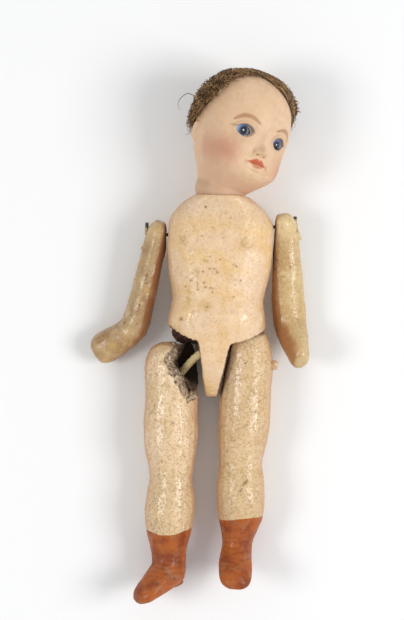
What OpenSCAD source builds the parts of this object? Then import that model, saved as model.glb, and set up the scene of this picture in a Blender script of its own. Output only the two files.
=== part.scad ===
// Small strung doll lying on its back: bisque socket head with set glass eyes, hollow moulded
// torso, one-piece arms on wire hooks, hollow moulded legs in painted boots.
// Millimetres. +X is the doll's left, +Y points to its head, +Z is up, out of its chest.
// Inside the model, x = 0 is the torso's middle, y = 0 the hip line and z = 0 the table.

/* [Head] */
// Width of the head across the temples
head_w = 38.6; // [37.6:0.2:41]
// Depth of the face in front of the neck axis
face_d = 18.8; // [18:0.2:20]
// Depth of the skull behind the neck axis
skull_d = 19.4; // [18:0.2:21]
// Height of the skull's top above the neck centre
skull_h = 48.8; // [46:0.2:52]
// Height of the pupils above the neck centre
eye_h = 23.8; // [23:0.2:25.4]
// Distance of each pupil from the middle of the face
eye_x = 8.4; // [7.6:0.1:9]
// Radius of a glass eye
eye_r = 5.2; // [4.6:0.1:5.6]
// Half length of an eye opening
lid_len = 3.8; // [3.4:0.1:4.4]
// Half height of an eye opening
lid_rise = 2.05; // [1.8:0.1:2.6]
// Wall of the bisque
bisque_wall = 2.2; // [1.6:0.1:2.6]
// Slope of the crown opening, down to the back
crown_slope = 48; // [42:1:54]
// Height of the crown opening's front edge above the neck centre
crown_h = 48; // [46:0.2:49]
// Rise of the card pate above the crown opening
pate_rise = 5; // [3:0.5:7]
// Thickness of the pate's card
pate_card = 1.4; // [1:0.1:1.8]
// Thickness of the matted wig band
band_t = 1.5; // [1:0.1:2]
// Turn of the head to its left, at rest
head_turn = 32; // [20:1:40]
// Tilt of the head to its left shoulder, at rest
head_tilt = 18; // [12:1:20]

/* [Neck] */
// Radius of the ball at the foot of the neck
neck_r = 10.4; // [10:0.1:10.8]
// Running gap between the neck's ball and its cup
neck_gap = 0.35; // [0.25:0.05:0.5]
// Depth of the cup's rim below the ball's centre
rim_drop = 3; // [2.4:0.1:3.6]
// Height of the neck's centre above the table
neck_z = 20.6; // [20:0.1:21.4]
// Radius of the hole in the foot of the neck
neck_hole_r = 4.5; // [4:0.1:5]
// Radius of the neck hook's wire
hook_r = 0.6; // [0.5:0.05:0.8]

/* [Torso] */
// Length from the crotch to the rim of the neck cup
torso_len = 82; // [78:0.5:86]
// Width over the flat shoulder faces
shoulder_w = 43; // [42:0.2:44]
// Width of the waist
waist_w = 37.4; // [35:0.2:39]
// Width of the hips
hip_w = 40.2; // [39:0.2:42]
// Depth of the chest
chest_d = 29.6; // [28:0.2:30]
// Wall of the moulded torso
torso_wall = 1.8; // [1.4:0.1:2.2]

/* [Arms] */
// Length of an arm from its hook down to the fingertips
arm_len = 60; // [57:0.5:63]
// Thickness of the upper arm
arm_t = 10; // [9:0.2:11]
// Breadth of the upper arm
arm_b = 12.6; // [12:0.2:13.4]
// Radius of the arm hook's wire
wire_r = 0.7; // [0.5:0.05:0.8]
// Gap between an arm and the shoulder face
arm_gap = 0.35; // [0.25:0.05:0.6]
// Height of the left arm's hook above the hip line
left_shoulder_y = 57.5; // [56:0.5:59]
// Height of the right arm's hook above the hip line, where its hole has worn lower
right_shoulder_y = 52.5; // [51:0.5:54]

/* [Legs] */
// Length of the left leg from the hip line to the tip of the boot
left_leg_len = 89.5; // [87:0.5:92]
// Length of the right leg from its hip line to the tip of the boot
right_leg_len = 91.5; // [89:0.5:94]
// Width of the thigh
thigh_w = 21.8; // [21:0.2:22.4]
// Width of the calf
calf_w = 20.2; // [19:0.2:21]
// Width of the boot over the foot
boot_w = 14; // [13:0.2:15]
// Wall of the moulded leg
leg_wall = 1.7; // [1.3:0.1:2]
// Radius of the round hip sockets
socket_r = 13; // [12.6:0.1:13.4]
// Running gap in the hip
hip_gap = 0.4; // [0.3:0.05:0.6]
// Radius of the stringing elastic through the hips
elastic_r = 1.6; // [1.3:0.1:1.8]
// Outward roll of the loose right leg
right_roll = 55; // [45:1:65]
// Drop of the loose right leg out of its socket
right_drop = 6; // [5.5:0.1:6.5]

/* [Hidden] */
$fn = 48;
// Colours of the bisque, moulded flesh, arms, boots, wig, wire, elastic, card and wood
bisque = [0.93, 0.76, 0.68];
flesh = [0.87, 0.70, 0.56];
arm_tan = [0.80, 0.67, 0.48];
wig_brown = [0.20, 0.12, 0.08];
wire_dark = [0.30, 0.27, 0.24];
elastic_tan = [0.76, 0.66, 0.42];
card_grey = [0.62, 0.56, 0.48];
wood_tan = [0.72, 0.54, 0.34];
// Fit left between glued pieces
glue = 0.06;
big = 120;

// Curves and skins

function curve(p, q, r, s, t) = 0.5 * (2 * q + (r - p) * t + (2 * p - 5 * q + 4 * r - s) * t * t
    + (3 * q - p - 3 * r + s) * t * t * t);
function stations(rows, steps) = [for (i = [0:len(rows) - 2], k = [0:steps - 1])
    curve(rows[max(i - 1, 0)], rows[i], rows[i + 1], rows[min(i + 2, len(rows) - 1)], k / steps),
    rows[len(rows) - 1]];
function unit(v) = v / norm(v);
function middle(points) = [for (k = [0:2]) [for (p = points) p[k]] * [for (p = points) 1]] / len(points);
function ramp(v) = let (u = min(1, max(0, v))) u * u * (3 - 2 * u);

// A closed skin over a list of rings that all have the same number of points
module skin(rings) {
    n = len(rings[0]);
    last = len(rings) - 1;
    points = concat([for (ring = rings) each ring], [middle(rings[0]), middle(rings[last])]);
    sides = [for (i = [0:last - 1], j = [0:n - 1])
        let (a = i * n + j, b = i * n + (j + 1) % n)
        each [[a, b, b + n], [a, b + n, a + n]]];
    foot = [for (j = [0:n - 1]) [(j + 1) % n, j, (last + 1) * n]];
    top = [for (j = [0:n - 1]) [last * n + j, last * n + (j + 1) % n, (last + 1) * n + 1]];
    polyhedron(points, concat(sides, foot, top), convexity = 6);
}

// A closed ring skin over a list of sections, the last joined to the first
module ring_skin(sections) {
    n = len(sections[0]);
    m = len(sections);
    faces = [for (i = [0:m - 1], j = [0:n - 1])
        let (a = i * n + j, b = i * n + (j + 1) % n, next = (i + 1) % m * n, c = next + j, d = next + (j + 1) % n)
        each [[a, b, d], [a, d, c]]];
    polyhedron([for (s = sections) each s], faces, convexity = 6);
}

// A round section of a tube at point p, square to direction t
function tube_ring(p, t, r, sides) = let (side = unit(cross(t, [0.13, 0.31, 0.94])), up = cross(side, t))
    [for (j = [0:sides - 1]) p + r * (side * cos(360 * j / sides) + up * sin(360 * j / sides))];
function heading(path, i) = unit(path[min(i + 1, len(path) - 1)] - path[max(i - 1, 0)]);
function tube_rings(path, r, sides) = [for (i = [0:len(path) - 1])
    tube_ring(path[i], heading(path, i), r, sides)];

module rod(a, b, r) {
    d = b - a;
    translate(a) rotate([0, acos(d.z / norm(d)), atan2(d.y, d.x)]) cylinder(r = r, h = norm(d));
}

// Head form, in the head's own frame: origin at the neck's centre, y up the neck, z out of the face

neck_y = torso_len - 13 + rim_drop;
neck_at = [-0.7, neck_y, neck_z];
neck_rows = [[0.6, 0.995, 0.995, 0.995], [2.2, 1.01, 1.06, 1.0], [3.8, 1.08, 1.3, 1.02]];
face_rows = [[6, 0.69, 0.97, 0.56], [8.5, 0.79, 1.05, 0.61], [12.5, 0.9, 1.03, 0.72],
             [17.5, 0.97, 1.0, 0.87], [23.5, 1.0, 0.985, 0.98], [30, 1.0, 1, 1.0], [36, 0.97, 0.975, 0.95],
             [41, 0.885, 0.87, 0.85], [45, 0.735, 0.69, 0.69], [47.5, 0.52, 0.46, 0.48],
             [48.5, 0.32, 0.27, 0.29], [48.8, 0.1, 0.08, 0.08]];
// Rows of the head: height, half width, front and back
head_rows = concat([for (r = neck_rows) [r[0], r[1] * neck_r, r[2] * neck_r, r[3] * neck_r]],
    [for (r = face_rows) [r[0] * skull_h / 48.8, r[1] * head_w / 2, r[2] * face_d, r[3] * skull_d]]);
// Relief of the face: height, x, y, spread in x and spread in y; x counts on both sides
relief = [[-1.7, eye_x, eye_h, 3.6, 2.7], [0.5, eye_x, eye_h + 5.6, 4.5, 1.8], [1.3, 0, eye_h - 1, 1.7, 4],
          [3.4, 0, eye_h - 5.6, 1.7, 1.9], [0.9, 2.1, eye_h - 6.6, 1.2, 1.1], [1.1, 0, eye_h - 9.4, 3.0, 1.1],
          [1.1, 0, eye_h - 11.4, 2.6, 1.0], [1.4, 0, 7.8, 4.2, 2.4], [0.9, 11, eye_h - 9, 4.6, 4.4]];
function bump(b, x, y) = b[0] * exp(-pow((abs(x) - b[1]) / b[3], 2) - pow((y - b[2]) / b[4], 2));
function face_relief(x, y) = [for (b = relief) bump(b, x, y)] * [for (b = relief) 1];
// Full cheeks and jaw: how much a ring swells between the middle of the face and its sides
function jowl(y, a) = a > 180 ? 1 : 1 + 0.1 * exp(-pow((y - 8.5) / 7, 2)) * ramp((y - 1.5) / 3) * pow(sin(2 * a), 2);
// Ring angles, closer together across the face
function head_angle(j, n) = let (u = (j + 0.5) / n) 360 * u - 24 * sin(720 * u + 180) * (u < 0.5 ? 1 : 0);
function head_ring(row, off, n, carved) = [for (j = [0:n - 1])
    let (a = head_angle(j, n), full = jowl(row[0], a), x = (row[1] * full + off) * cos(a),
        z = ((a < 180 ? row[2] : row[3]) * full + off) * sin(a))
    [x, row[0], z + (carved && a < 180 ? face_relief(x, row[0]) * ramp(sin(a) * 2) : 0)]];
function head_rings(off, n, steps, carved) =
    [for (row = stations(head_rows, steps)) head_ring(row, off, n, carved)];

// The crown opening's plane: a point at its front edge and its axes back and out
crown_front = [0, crown_h * skull_h / 48.8, 3];
crown_back = [0, -sin(crown_slope), -cos(crown_slope)];
crown_out = [0, cos(crown_slope), -sin(crown_slope)];
crown_mid = crown_front + 18.5 * crown_back;
function row_at(y) = let (s = stations(head_rows, 4), over = [for (r = s) if (r[0] > y) r],
    under = [for (r = s) if (r[0] <= y) r], a = under[len(under) - 1], b = over[0])
    len(over) == 0 ? s[len(s) - 1] : a + (b - a) * (y - a[0]) / (b[0] - a[0]);
function outside(q) = let (r = row_at(q.y)) q.y > skull_h - 0.1
    || pow(q.x / r[1], 2) + pow(q.z / (q.z > 0 ? r[2] : r[3]), 2) > 1;
function reach(from, dir, lo, hi, n) = n == 0 ? lo
    : let (m = (lo + hi) / 2)
        outside(from + dir * m) ? reach(from, dir, lo, m, n - 1) : reach(from, dir, m, hi, n - 1);
// A point of the skull's outline on the crown plane, or lifted off it, and pushed out by off
function rim_dir(a) = [sin(a), 0, 0] - crown_back * cos(a);
function rim_at(a, lift, off) = let (from = crown_mid + crown_out * lift, dir = rim_dir(a))
    from + dir * (reach(from, dir, 1, 40, 12) + off);

module in_head(turned = true) {
    translate(neck_at) rotate([0, 0, -head_tilt]) rotate([0, turned ? head_turn : 0, 0]) children();
}

module eye_places() {
    for (side = [-1, 1]) translate([side * eye_x, eye_h, eye_z]) children();
}
eye_row = row_at(eye_h);
eye_z = eye_row[2] * sqrt(1 - pow(2 * eye_x / head_w, 2)) + face_relief(eye_x, eye_h) - eye_r + 0.15;

module eye_opening() {
    lens_r = (lid_len * lid_len + lid_rise * lid_rise) / (2 * lid_rise);
    linear_extrude(eye_r * 3) intersection() {
        translate([0, lid_rise - lens_r]) circle(r = lens_r);
        translate([0, lens_r - lid_rise]) circle(r = lens_r);
    }
}

ear_h = eye_h - 6;
ear_back = -3;
module ear(side) {
    rows = [[-4.2, 0.5, 0.8], [-3.2, 1.1, 1.6], [-1.4, 1.6, 2.3],
            [1.4, 1.9, 2.9], [3.2, 1.6, 2.4], [4.2, 0.7, 1]];
    w = row_at(ear_h)[1] - 1;
    skin([for (r = stations(rows, 2)) [for (j = [0:11]) let (a = 30 * j + 15, out = sin(a) * (sin(a) > 0 ? 1.7 : 0.5))
        [side * (w + r[1] * out), ear_h + r[0], ear_back - side * r[2] * cos(a)]]]);
}

module crown_space(lift) {
    translate(crown_mid + crown_out * lift) rotate([-crown_slope, 0, 0])
        translate([-big / 2, 0, -big / 2]) cube(big);
}

module bisque_head() color(bisque) in_head() difference() {
    union() {
        skin(head_rings(0, 44, 3, true));
        ear(-1);
        ear(1);
        intersection() {
            sphere(r = neck_r);
            translate([-big / 2, -big, -big / 2]) cube([big, big + 1, big]);
        }
    }
    skin(head_rings(-bisque_wall, 24, 1, false));
    sphere(r = neck_r - bisque_wall);
    rotate([90, 0, 0]) cylinder(r = neck_hole_r, h = neck_r + 1);
    crown_space(0);
    eye_places() eye_opening();
    eye_places() sphere(r = eye_r + glue);
}

module eye(side) color("steelblue") in_head() translate([side * eye_x, eye_h, eye_z]) sphere(r = eye_r);
module right_eye() eye(-1);
module left_eye() eye(1);

module eye_plaster() color("ivory") in_head() difference() {
    intersection() {
        skin(head_rings(-bisque_wall - glue, 24, 1, false));
        translate([-eye_x - eye_r - 1, eye_h - eye_r - 1, eye_z - eye_r - 1.2])
            cube([2 * (eye_x + eye_r + 1), 2 * (eye_r + 1), big]);
    }
    eye_places() sphere(r = eye_r + glue);
    eye_places() eye_opening();
}

rim_steps = 40;
pate_edge = -bisque_wall / 2;
function pate_ring(share, lift) = [for (k = [0:rim_steps - 1])
    crown_mid + (rim_at(360 * k / rim_steps, 0, pate_edge) - crown_mid) * share + crown_out * (glue + lift)];
pate_top = [for (k = [4:-1:0]) pate_ring(max(cos(22 * k), 0.04), pate_rise * sin(22 * k))];
pate_under = [for (k = [0:4]) let (rise = pate_rise - (k == 0 ? 0 : pate_card))
    pate_ring(max(cos(22 * k) * (1 - pate_card / 18), 0.03), rise * sin(22 * k))];
module pate() color(card_grey) in_head() skin(concat(pate_top, pate_under));

// A tuft of the wig along the rim: its section has lift, offset and swelling, its tips hang deep times lower
tuft_root = -3.5;
function tuft_lift(lift, deep, t) = lift > tuft_root ? lift : lift * (1 + (deep - 1) * t);
module tuft(from, to, steps, deep) {
    skin([for (k = [0:steps]) let (a = from + (to - from) * k / steps, t = sin(180 * k / steps))
        [for (s = tuft_section) rim_at(a, tuft_lift(s[0], deep, t), s[1] + s[2] * t)]]);
}
band_section = [[-2.4, 0.2], [-2, band_t * 0.8], [-0.4, band_t], [1, band_t * 0.6], [0.8, 0.1], [-0.5, 0.2]];
module wig_band() color(wig_brown) in_head()
    ring_skin([for (k = [0:rim_steps - 1]) [for (s = band_section) rim_at(360 * k / rim_steps, s[0], s[1])]]);

tuft_section = [[-6.4, 0.25, 0.2], [-5.4, 0.6, 1.4], [-4.2, band_t, 2.3], [-2.6, band_t, 2.6],
                [0.2, band_t + 0.6, 2.2], [0.8, band_t + 0.3, 0.2], [-2.7, band_t + 0.25, 0.1],
                [-3.2, 0.3, 0.1], [-4.8, 0.3, 0.1]];
module wig_tuft_right() color(wig_brown) in_head() tuft(-128, -46, 12, 1.8);
module wig_tuft_left() color(wig_brown) in_head() tuft(44, 92, 8, 1);

button_r = neck_r - bisque_wall - 0.3;
module neck_button() color(wood_tan) in_head(false) difference() {
    intersection() {
        sphere(r = button_r);
        rotate([90, 0, 0]) cylinder(r = button_r - 1, h = button_r);
    }
    rotate([90, 0, 0]) cylinder(r1 = hook_r + 0.4, r2 = hook_r + 0.4 + (button_r + 1) / 2, h = button_r + 1);
    translate([0, 0, -button_r]) cylinder(r = hook_r + 0.15, h = 2 * button_r);
}

// Wire hook: a cross bar in the button's groove, a straight shank and a bend that takes the elastic
hook_len = 16;
hook_bend = 2.4;
module neck_hook() color(wire_dark) translate(neck_at) {
    translate([0, 0, -4]) cylinder(r = hook_r, h = 8);
    rotate([90, 0, 0]) cylinder(r = hook_r, h = hook_len);
    translate([hook_bend, -hook_len, 0]) rotate([0, 0, 180])
        rotate_extrude(angle = 180) translate([hook_bend, 0]) circle(r = hook_r);
}

// Torso

crotch_y = -13;
torso_z = 15.2;
chest_f = chest_d / 2;
torso_rows = [for (r = [[0, 3.4, 5, 6, 11.2], [0.04, 7, 8, 9, 12], [0.12, 14, 11, 12, 13.2],
        [0.22, hip_w / 2 - 1.2, 12.8, 13.3, 14], [0.33, hip_w / 2, 14.6, 13.8, 14.6],
        [0.41, hip_w / 2 - 0.2, 15.2, 13, torso_z], [0.49, waist_w / 2, 14.4, 12.4, torso_z],
        [0.60, shoulder_w / 2 - 0.9, 14.4, 13.6, torso_z],
        [0.72, shoulder_w / 2 + 0.6, chest_f, chest_f, torso_z],
        [0.80, shoulder_w / 2 + 0.6, chest_f - 1, chest_f - 0.6, 15.6],
        [0.87, shoulder_w / 2 - 0.1, 12.8, 13.2, 16.6], [0.92, 18.8, 12, 12.2, 17.6],
        [0.958, 15.8, 12, 12, 18.8], [0.983, neck_r + 2.7, neck_r + 1.6, neck_r + 1.6, 19.8],
        [1, neck_r + 0.7, neck_r + 0.7, neck_r + 0.7, neck_z]])
    [crotch_y + r[0] * torso_len, r[1], r[2], r[3], r[4], r[0] > 0.9 ? neck_at.x * (r[0] - 0.9) * 10 : 0]];
function torso_ring(row, off, n) = [for (j = [0:n - 1]) let (a = 360 * (j + 0.5) / n)
    [row[5] + (row[1] + off) * sign(cos(a)) * pow(abs(cos(a)), 0.9), row[0],
     row[4] + ((a < 180 ? row[2] : row[3]) + off) * sign(sin(a)) * pow(abs(sin(a)), 0.9)]];
function torso_rings(off, n, steps) = [for (row = stations(torso_rows, steps)) torso_ring(row, off, n)];

// Hip axes: a point on the joint face and a direction outwards; side is 1 on the doll's left
hip_slope = 10.5;
hip_face = 5;
right_hip_face = 6.6;
hip_y = 4.6;
hip_z = 14.8;
module at_hip(side) {
    translate([side > 0 ? hip_face : -right_hip_face, hip_y, hip_z])
        rotate([0, 0, side > 0 ? -hip_slope : 180 + hip_slope]) rotate([0, 90, 0]) children();
}
// Room that a leg turns in, grown by off
module hip_room(side, off) at_hip(side) {
    translate([0, 0, -off]) cylinder(r = socket_r + off, h = big);
    translate([-big / 2, side > 0 ? -big : 0, -off]) cube([big, big, big]);
}
shoulder_z = 13.5;
// All that lies further out than x, on one side
module beside_shoulder(side, x) translate([side > 0 ? x : -big - x, -big / 2, -big / 2]) cube([big, big * 2, big]);
module torso_shell() difference() {
    skin(torso_rings(0, 36, 2));
    difference() {
        skin(torso_rings(-torso_wall, 24, 1));
        for (side = [-1, 1]) hip_room(side, torso_wall);
        translate(neck_at) sphere(r = neck_r + neck_gap + torso_wall);
        for (side = [-1, 1]) beside_shoulder(side, shoulder_w / 2 - torso_wall);
        translate([-big / 2, -big + crotch_y + 4, -big / 2]) cube(big);
    }
    for (side = [-1, 1]) hip_room(side, 0);
    for (side = [-1, 1]) at_hip(side) translate([0, 0, -torso_wall * 3])
        cylinder(r = elastic_r + 1.3, h = torso_wall * 6);
    translate(neck_at) sphere(r = neck_r + neck_gap);
    translate(neck_at) rotate([90, 0, 0]) cylinder(r = neck_hole_r + 0.5, h = neck_r + torso_wall + 3);
    translate([-big / 2, neck_y - rim_drop, -big / 2]) cube(big);
    for (side = [-1, 1]) beside_shoulder(side, shoulder_w / 2);
    for (side = [-1, 1]) translate([0, side > 0 ? left_shoulder_y : right_shoulder_y, shoulder_z])
        rotate([0, side * 90, 0]) cylinder(r = wire_r + 0.5, h = shoulder_w);
}
seam_z = 14.3;
module torso_front() color(flesh) intersection() {
    torso_shell();
    translate([-big / 2, -big / 2, seam_z]) cube([big, big * 2, big]);
}
module torso_back() color(flesh) intersection() {
    torso_shell();
    translate([-big / 2, -big / 2, seam_z - big]) cube([big, big * 2, big]);
}

// Arms, along their own bent line: distance down it, half thickness and half breadth

elbow_at = 0.62 * arm_len;
elbow_r = 9;
elbow_bend = 44;
arm_rows = [for (r = [[-5.7, 0.4, 0.4], [-5.2, 0.66, 0.64], [-3.8, 0.87, 0.85], [-1.2, 0.96, 0.95], [0.14, 1, 1.01],
        [0.34, 1.06, 1.08], [0.54, 1.15, 1.13], [0.67, 1.23, 1.1], [0.78, 1.28, 0.98], [0.87, 1.39, 0.82],
        [0.94, 1.29, 0.68], [0.985, 0.95, 0.52], [1, 0.5, 0.3]])
    [r[0] < 0 ? r[0] : r[0] * arm_len, r[1] * arm_t / 2, r[2] * arm_b / 2]];
function arm_turn(t) = min(elbow_bend, max(0, (t - elbow_at) / elbow_r * 180 / PI));
function arm_line(t) = let (a = arm_turn(t), over = max(0, t - elbow_at - elbow_r * elbow_bend * PI / 180))
    [min(t, elbow_at) + elbow_r * sin(a) + over * cos(a), elbow_r * (1 - cos(a)) + over * sin(a)];
function turned(v, axis, a) = let (c = cos(a), s = sin(a))
    axis == 0 ? [v.x, v.y * c - v.z * s, v.y * s + v.z * c]
    : axis == 1 ? [v.x * c + v.z * s, v.y, v.z * c - v.x * s] : [v.x * c - v.y * s, v.x * s + v.y * c, v.z];
// Pose of each arm: bend direction about its own length, splay and drop towards the table
arm_pose = [[-1, 0, 12, 8], [1, 78, 7, 8]];
function arm_set(v, pose) = let (hung = turned([v.y * pose[0], -v.x, v.z], 1, -pose[0] * pose[1]))
    turned(turned(hung, 2, pose[0] * pose[2]), 0, pose[3]);
arm_in = 3.9;
function arm_centre(pose) =
    [pose[0] * (shoulder_w / 2 + arm_in), pose[0] > 0 ? left_shoulder_y : right_shoulder_y, shoulder_z];
function arm_point(pose, c, a, across, over) =
    arm_centre(pose) + arm_set([c.x - sin(a) * across, c.y + cos(a) * across, over], pose);
function arm_rings(pose) = [for (row = stations(arm_rows, 2)) let (c = arm_line(row[0]), a = arm_turn(row[0]))
    [for (j = [0:19]) let (f = -pose[0] * (18 * j + 9)) arm_point(pose, c, a, row[1] * cos(f), row[2] * sin(f))]];
arm_out = shoulder_w / 2 + arm_gap + 8.4;
hook_up = 4.6;
module arm(pose) difference() {
    skin(arm_rings(pose));
    beside_shoulder(-pose[0], -shoulder_w / 2 - arm_gap);
    translate(arm_centre(pose)) rotate([0, 90, 0])
        cylinder(r = wire_r + glue, h = 2 * shoulder_w, center = true);
    translate([pose[0] * arm_out, arm_centre(pose).y - 1, shoulder_z]) rotate([-90, 0, 0])
        cylinder(r = wire_r + 0.25, h = hook_up + 6);
}
module right_arm() color(arm_tan) arm(arm_pose[0]);
module left_arm() color(arm_tan) arm(arm_pose[1]);

// Wire hook of an arm: a shank through arm and shoulder, a bent outer end and a coiled inner end
coil_in = shoulder_w / 2 - torso_wall - 5;
module arm_hook(pose) {
    at = arm_centre(pose);
    side = pose[0];
    translate([0, at.y, at.z]) {
        rod([side * coil_in, 0, 0], [side * arm_out, 0, 0], wire_r);
        translate([side * arm_out, 0, 0]) sphere(r = wire_r * 1.15);
        translate([side * arm_out, 0, 0]) rotate([-90, 0, 0]) cylinder(r = wire_r, h = hook_up);
        rod([side * (coil_in - 1), 0, 0], [side * coil_in, 0, 0], wire_r * 2.2);
    }
}
module right_arm_hook() color(wire_dark) arm_hook(arm_pose[0]);
module left_arm_hook() color(wire_dark) arm_hook(arm_pose[1]);

// Elastic between the two arm hooks: a knotted loop on each shank and two strands
strand_r = 0.8;
strand_out = wire_r * 2.2 + strand_r + 0.35;
module shoulder_elastic() color(elastic_tan) {
    ends = [[-coil_in - 1.3, right_shoulder_y, shoulder_z], [coil_in + 1.3, left_shoulder_y, shoulder_z]];
    for (end = ends) translate(end) rotate([0, 90, 0])
        rotate_extrude() translate([wire_r + 0.3 + 1.05, 0]) circle(r = 1.05);
    for (off = [[0, -strand_out, 0], [0, strand_out, 0]]) rod(ends[0] + off, ends[1] + off, strand_r);
}

// Legs, in their own frame: x outwards, y up the leg from the hip line, z forwards
// Rows: distance down, half width, front, back, offset forwards, tilt of the section, offset outwards
hip_rows = [[-17, 2, 2, 2, 3.6, 0, 0.3], [-15.6, 5.2, 4.8, 4.8, 3.6, 0, 0.3],
            [-13.9, 7.2, 6.4, 6.4, 3.5, 0, 0.3], [-10.8, 8.9, 7.8, 7.8, 3.3, 0, 0.3],
            [-6, 10.2, 8.8, 8.8, 3, 0, 0.5]];
shin_rows = [[0, 0.975, 9.2, 9.2, 2.4, 0, 0.8], [9, 0.965, 9.9, 10.2, 1.5, 0, 0.5],
             [18, 1, 11.2, 11.4, 0.7, 0, 0.5], [27, 0.98, 11.5, 11.3, 0.2, 0, 0.1], [34, 0.90, 10, 9.8, 0, 0, -0.2]];
calf_rows = [[41, 0.90, 8.8, 8.6, 0, 0, -0.4], [47, 0.98, 9.4, 10.2, 0, 0, -0.2],
             [54, 1.01, 10.2, 11, 0, 0, 0.1], [60, 0.98, 9.8, 10.4, 0, 0, 0.3], [64, 0.91, 8.9, 9.5, 0, 0, 0.3],
             [69, 0.75, 7.8, 8.4, 0, 2, 0], [74, 0.635, 7.2, 8, 0, 7, -0.4]];
foot_rows = [[78.6, 0.95, 7, 8.6, 0.8, 27, -0.8], [81.4, 0.985, 6.4, 7.2, 3.4, 47, -0.9],
             [84.2, 1, 5.4, 5.6, 7, 60, -0.9], [87, 0.985, 4.5, 4.5, 10.5, 65, -0.8],
             [89, 0.85, 3.5, 3.7, 12.9, 65, -0.7], [90.2, 0.52, 2, 2.2, 14.7, 65, -0.7]];
function widened(rows, w, down) = [for (r = rows) [r[0] * down, r[1] * w / 2, r[2], r[3], r[4], r[5], r[6]]];
// Each leg: stretch of its length, fullness of its seat, how far its hip face stands out, height of its dome
left_leg = [left_leg_len / 91.5, 1.6, 0, 1];
right_leg = [right_leg_len / 91.5, 4.4, 4.4, 0.88];
function stretch(leg) = leg[0];
function seat(leg) = leg[1];
function proud(leg) = leg[2];
function dome(leg) = leg[3];
function seat_share(d) = d < 0 ? max(0, 1 - pow(d / 17.5, 4)) : max(0, 1 - d / 22);
function seated(rows, full) =
    [for (r = rows) [r[0], r[1], r[2], r[3] + full * seat_share(r[0]), r[4], r[5], r[6]]];
function thigh_rows(leg) =
    concat(widened(hip_rows, 2, dome(leg)), widened(shin_rows, thigh_w, stretch(leg)));
function leg_rows(leg) =
    concat(seated(thigh_rows(leg), seat(leg)), widened(calf_rows, calf_w, stretch(leg)));
function leg_ring(row, off, n) = [for (j = [0:n - 1])
    let (a = -360 * (j + 0.5) / n, u = ((sin(a) > 0 ? row[2] : row[3]) + off) * sin(a))
    [row[6] + (row[1] + off) * cos(a), -row[0] + u * sin(row[5]), row[4] + u * cos(row[5])]];
function boot_rows(leg) = widened(foot_rows, boot_w, stretch(leg));
function leg_rings(leg) =
    [for (row = stations(concat(leg_rows(leg), boot_rows(leg)), 2)) leg_ring(row, 0, 20)];
function cavity_rings(leg) =
    [for (r = leg_rows(leg)) if (r[0] < 66 && r[0] > -16 * dome(leg)) leg_ring(r, -leg_wall, 16)];
// Place of each leg's own frame
leg_x = 12.6;
leg_z = 11.2;
right_at = [-16.8, -right_drop, 11.3];
right_lean = 0.6;
module in_leg(side) {
    if (side > 0) translate([leg_x, 0, leg_z]) children();
    else translate(right_at) rotate([0, 0, right_lean]) rotate([0, -right_roll, 0])
        mirror([1, 0, 0]) children();
}
// The hip axis seen from a leg's own frame
module leg_hip() {
    translate([hip_face - leg_x, hip_y, hip_z - leg_z])
        rotate([0, 0, -hip_slope]) rotate([0, 90, 0]) children();
}
// What is taken off the top of a leg so that it turns in the hip socket
module hip_trim(leg, off) leg_hip() {
    translate([-big / 2, -big / 2, hip_gap - off - proud(leg) - big]) cube(big);
    difference() {
        translate([-big / 2, 0, -big / 2]) cube(big);
        translate([0, 0, -big]) cylinder(r = socket_r - hip_gap + off, h = 2 * big);
    }
}
// The sole's own frame: y out of the foot's top, z along the sole to the toe
sole_tilt = 25;
module at_sole(leg) translate([0, -90.6 * stretch(leg), 9.8]) rotate([sole_tilt, 0, 0]) children();
module sole_trim(leg) at_sole(leg) translate([-big / 2, -big, -big / 2]) cube(big);
heel_r = 4.1;
heel_h = 1.3;
heel_back = -15.4;
heel_side = 0.6;
module heel(leg) at_sole(leg) translate([heel_side, -heel_h, heel_back]) rotate([-90, 0, 0])
    cylinder(r1 = heel_r - 0.4, r2 = heel_r, h = heel_h + 1, $fn = 16);
plug_r = 1.9;
module leg_shell(leg) difference() {
    union() {
        difference() {
            skin(leg_rings(leg));
            sole_trim(leg);
        }
        heel(leg);
    }
    hip_trim(leg, 0);
    difference() {
        skin(cavity_rings(leg));
        hip_trim(leg, -leg_wall);
    }
    leg_hip() translate([0, 0, -proud(leg)]) cylinder(r = elastic_r + 0.6, h = 10);
}
module leg_half(side, leg) intersection() {
    leg_shell(leg);
    translate([side > 0 ? 0 : -big, -big * 1.5, -big / 2]) cube([big, big * 2, big]);
}
// Broken hole in the front of the right thigh, as seen from above
break_line = [[-20.6, 1], [-20.2, 3.4], [-18.4, 4.4], [-17.4, 6.6], [-16.6, 12],
              [-2, 12], [-2, -12], [-6.6, -12.4], [-7.6, -14.2], [-9, -14.2], [-10.4, -15.4], [-11.6, -13],
              [-13.4, -11.4], [-14, -9], [-16, -7.6], [-16.4, -5.2], [-18.4, -4], [-19, -1.4]];
torn_line = [[-16, 12], [-2, 12], [-2, -9.5], [-8, -10.4], [-9.4, -8.6], [-11, -8]];
torn_floor = 6;
module break_hole() {
    translate([0, 0, right_at.z - 2.4]) linear_extrude(big) polygon(break_line);
    translate([0, 0, torn_floor]) linear_extrude(big) polygon(torn_line);
}
module right_leg_inner() color(flesh) difference() {
    in_leg(-1) leg_half(-1, right_leg);
    break_hole();
    toggle_bore();
}
module right_leg_outer() color(flesh) difference() {
    in_leg(-1) leg_half(1, right_leg);
    break_hole();
    toggle_bore();
}
module left_leg_inner() color(flesh) in_leg(1) leg_half(-1, left_leg);
plug_in = 15;
plug_out = 19.7;
module left_leg_outer() color(flesh) in_leg(1) difference() {
    leg_half(1, left_leg);
    leg_hip() cylinder(r = plug_r + glue, h = big);
}
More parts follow.
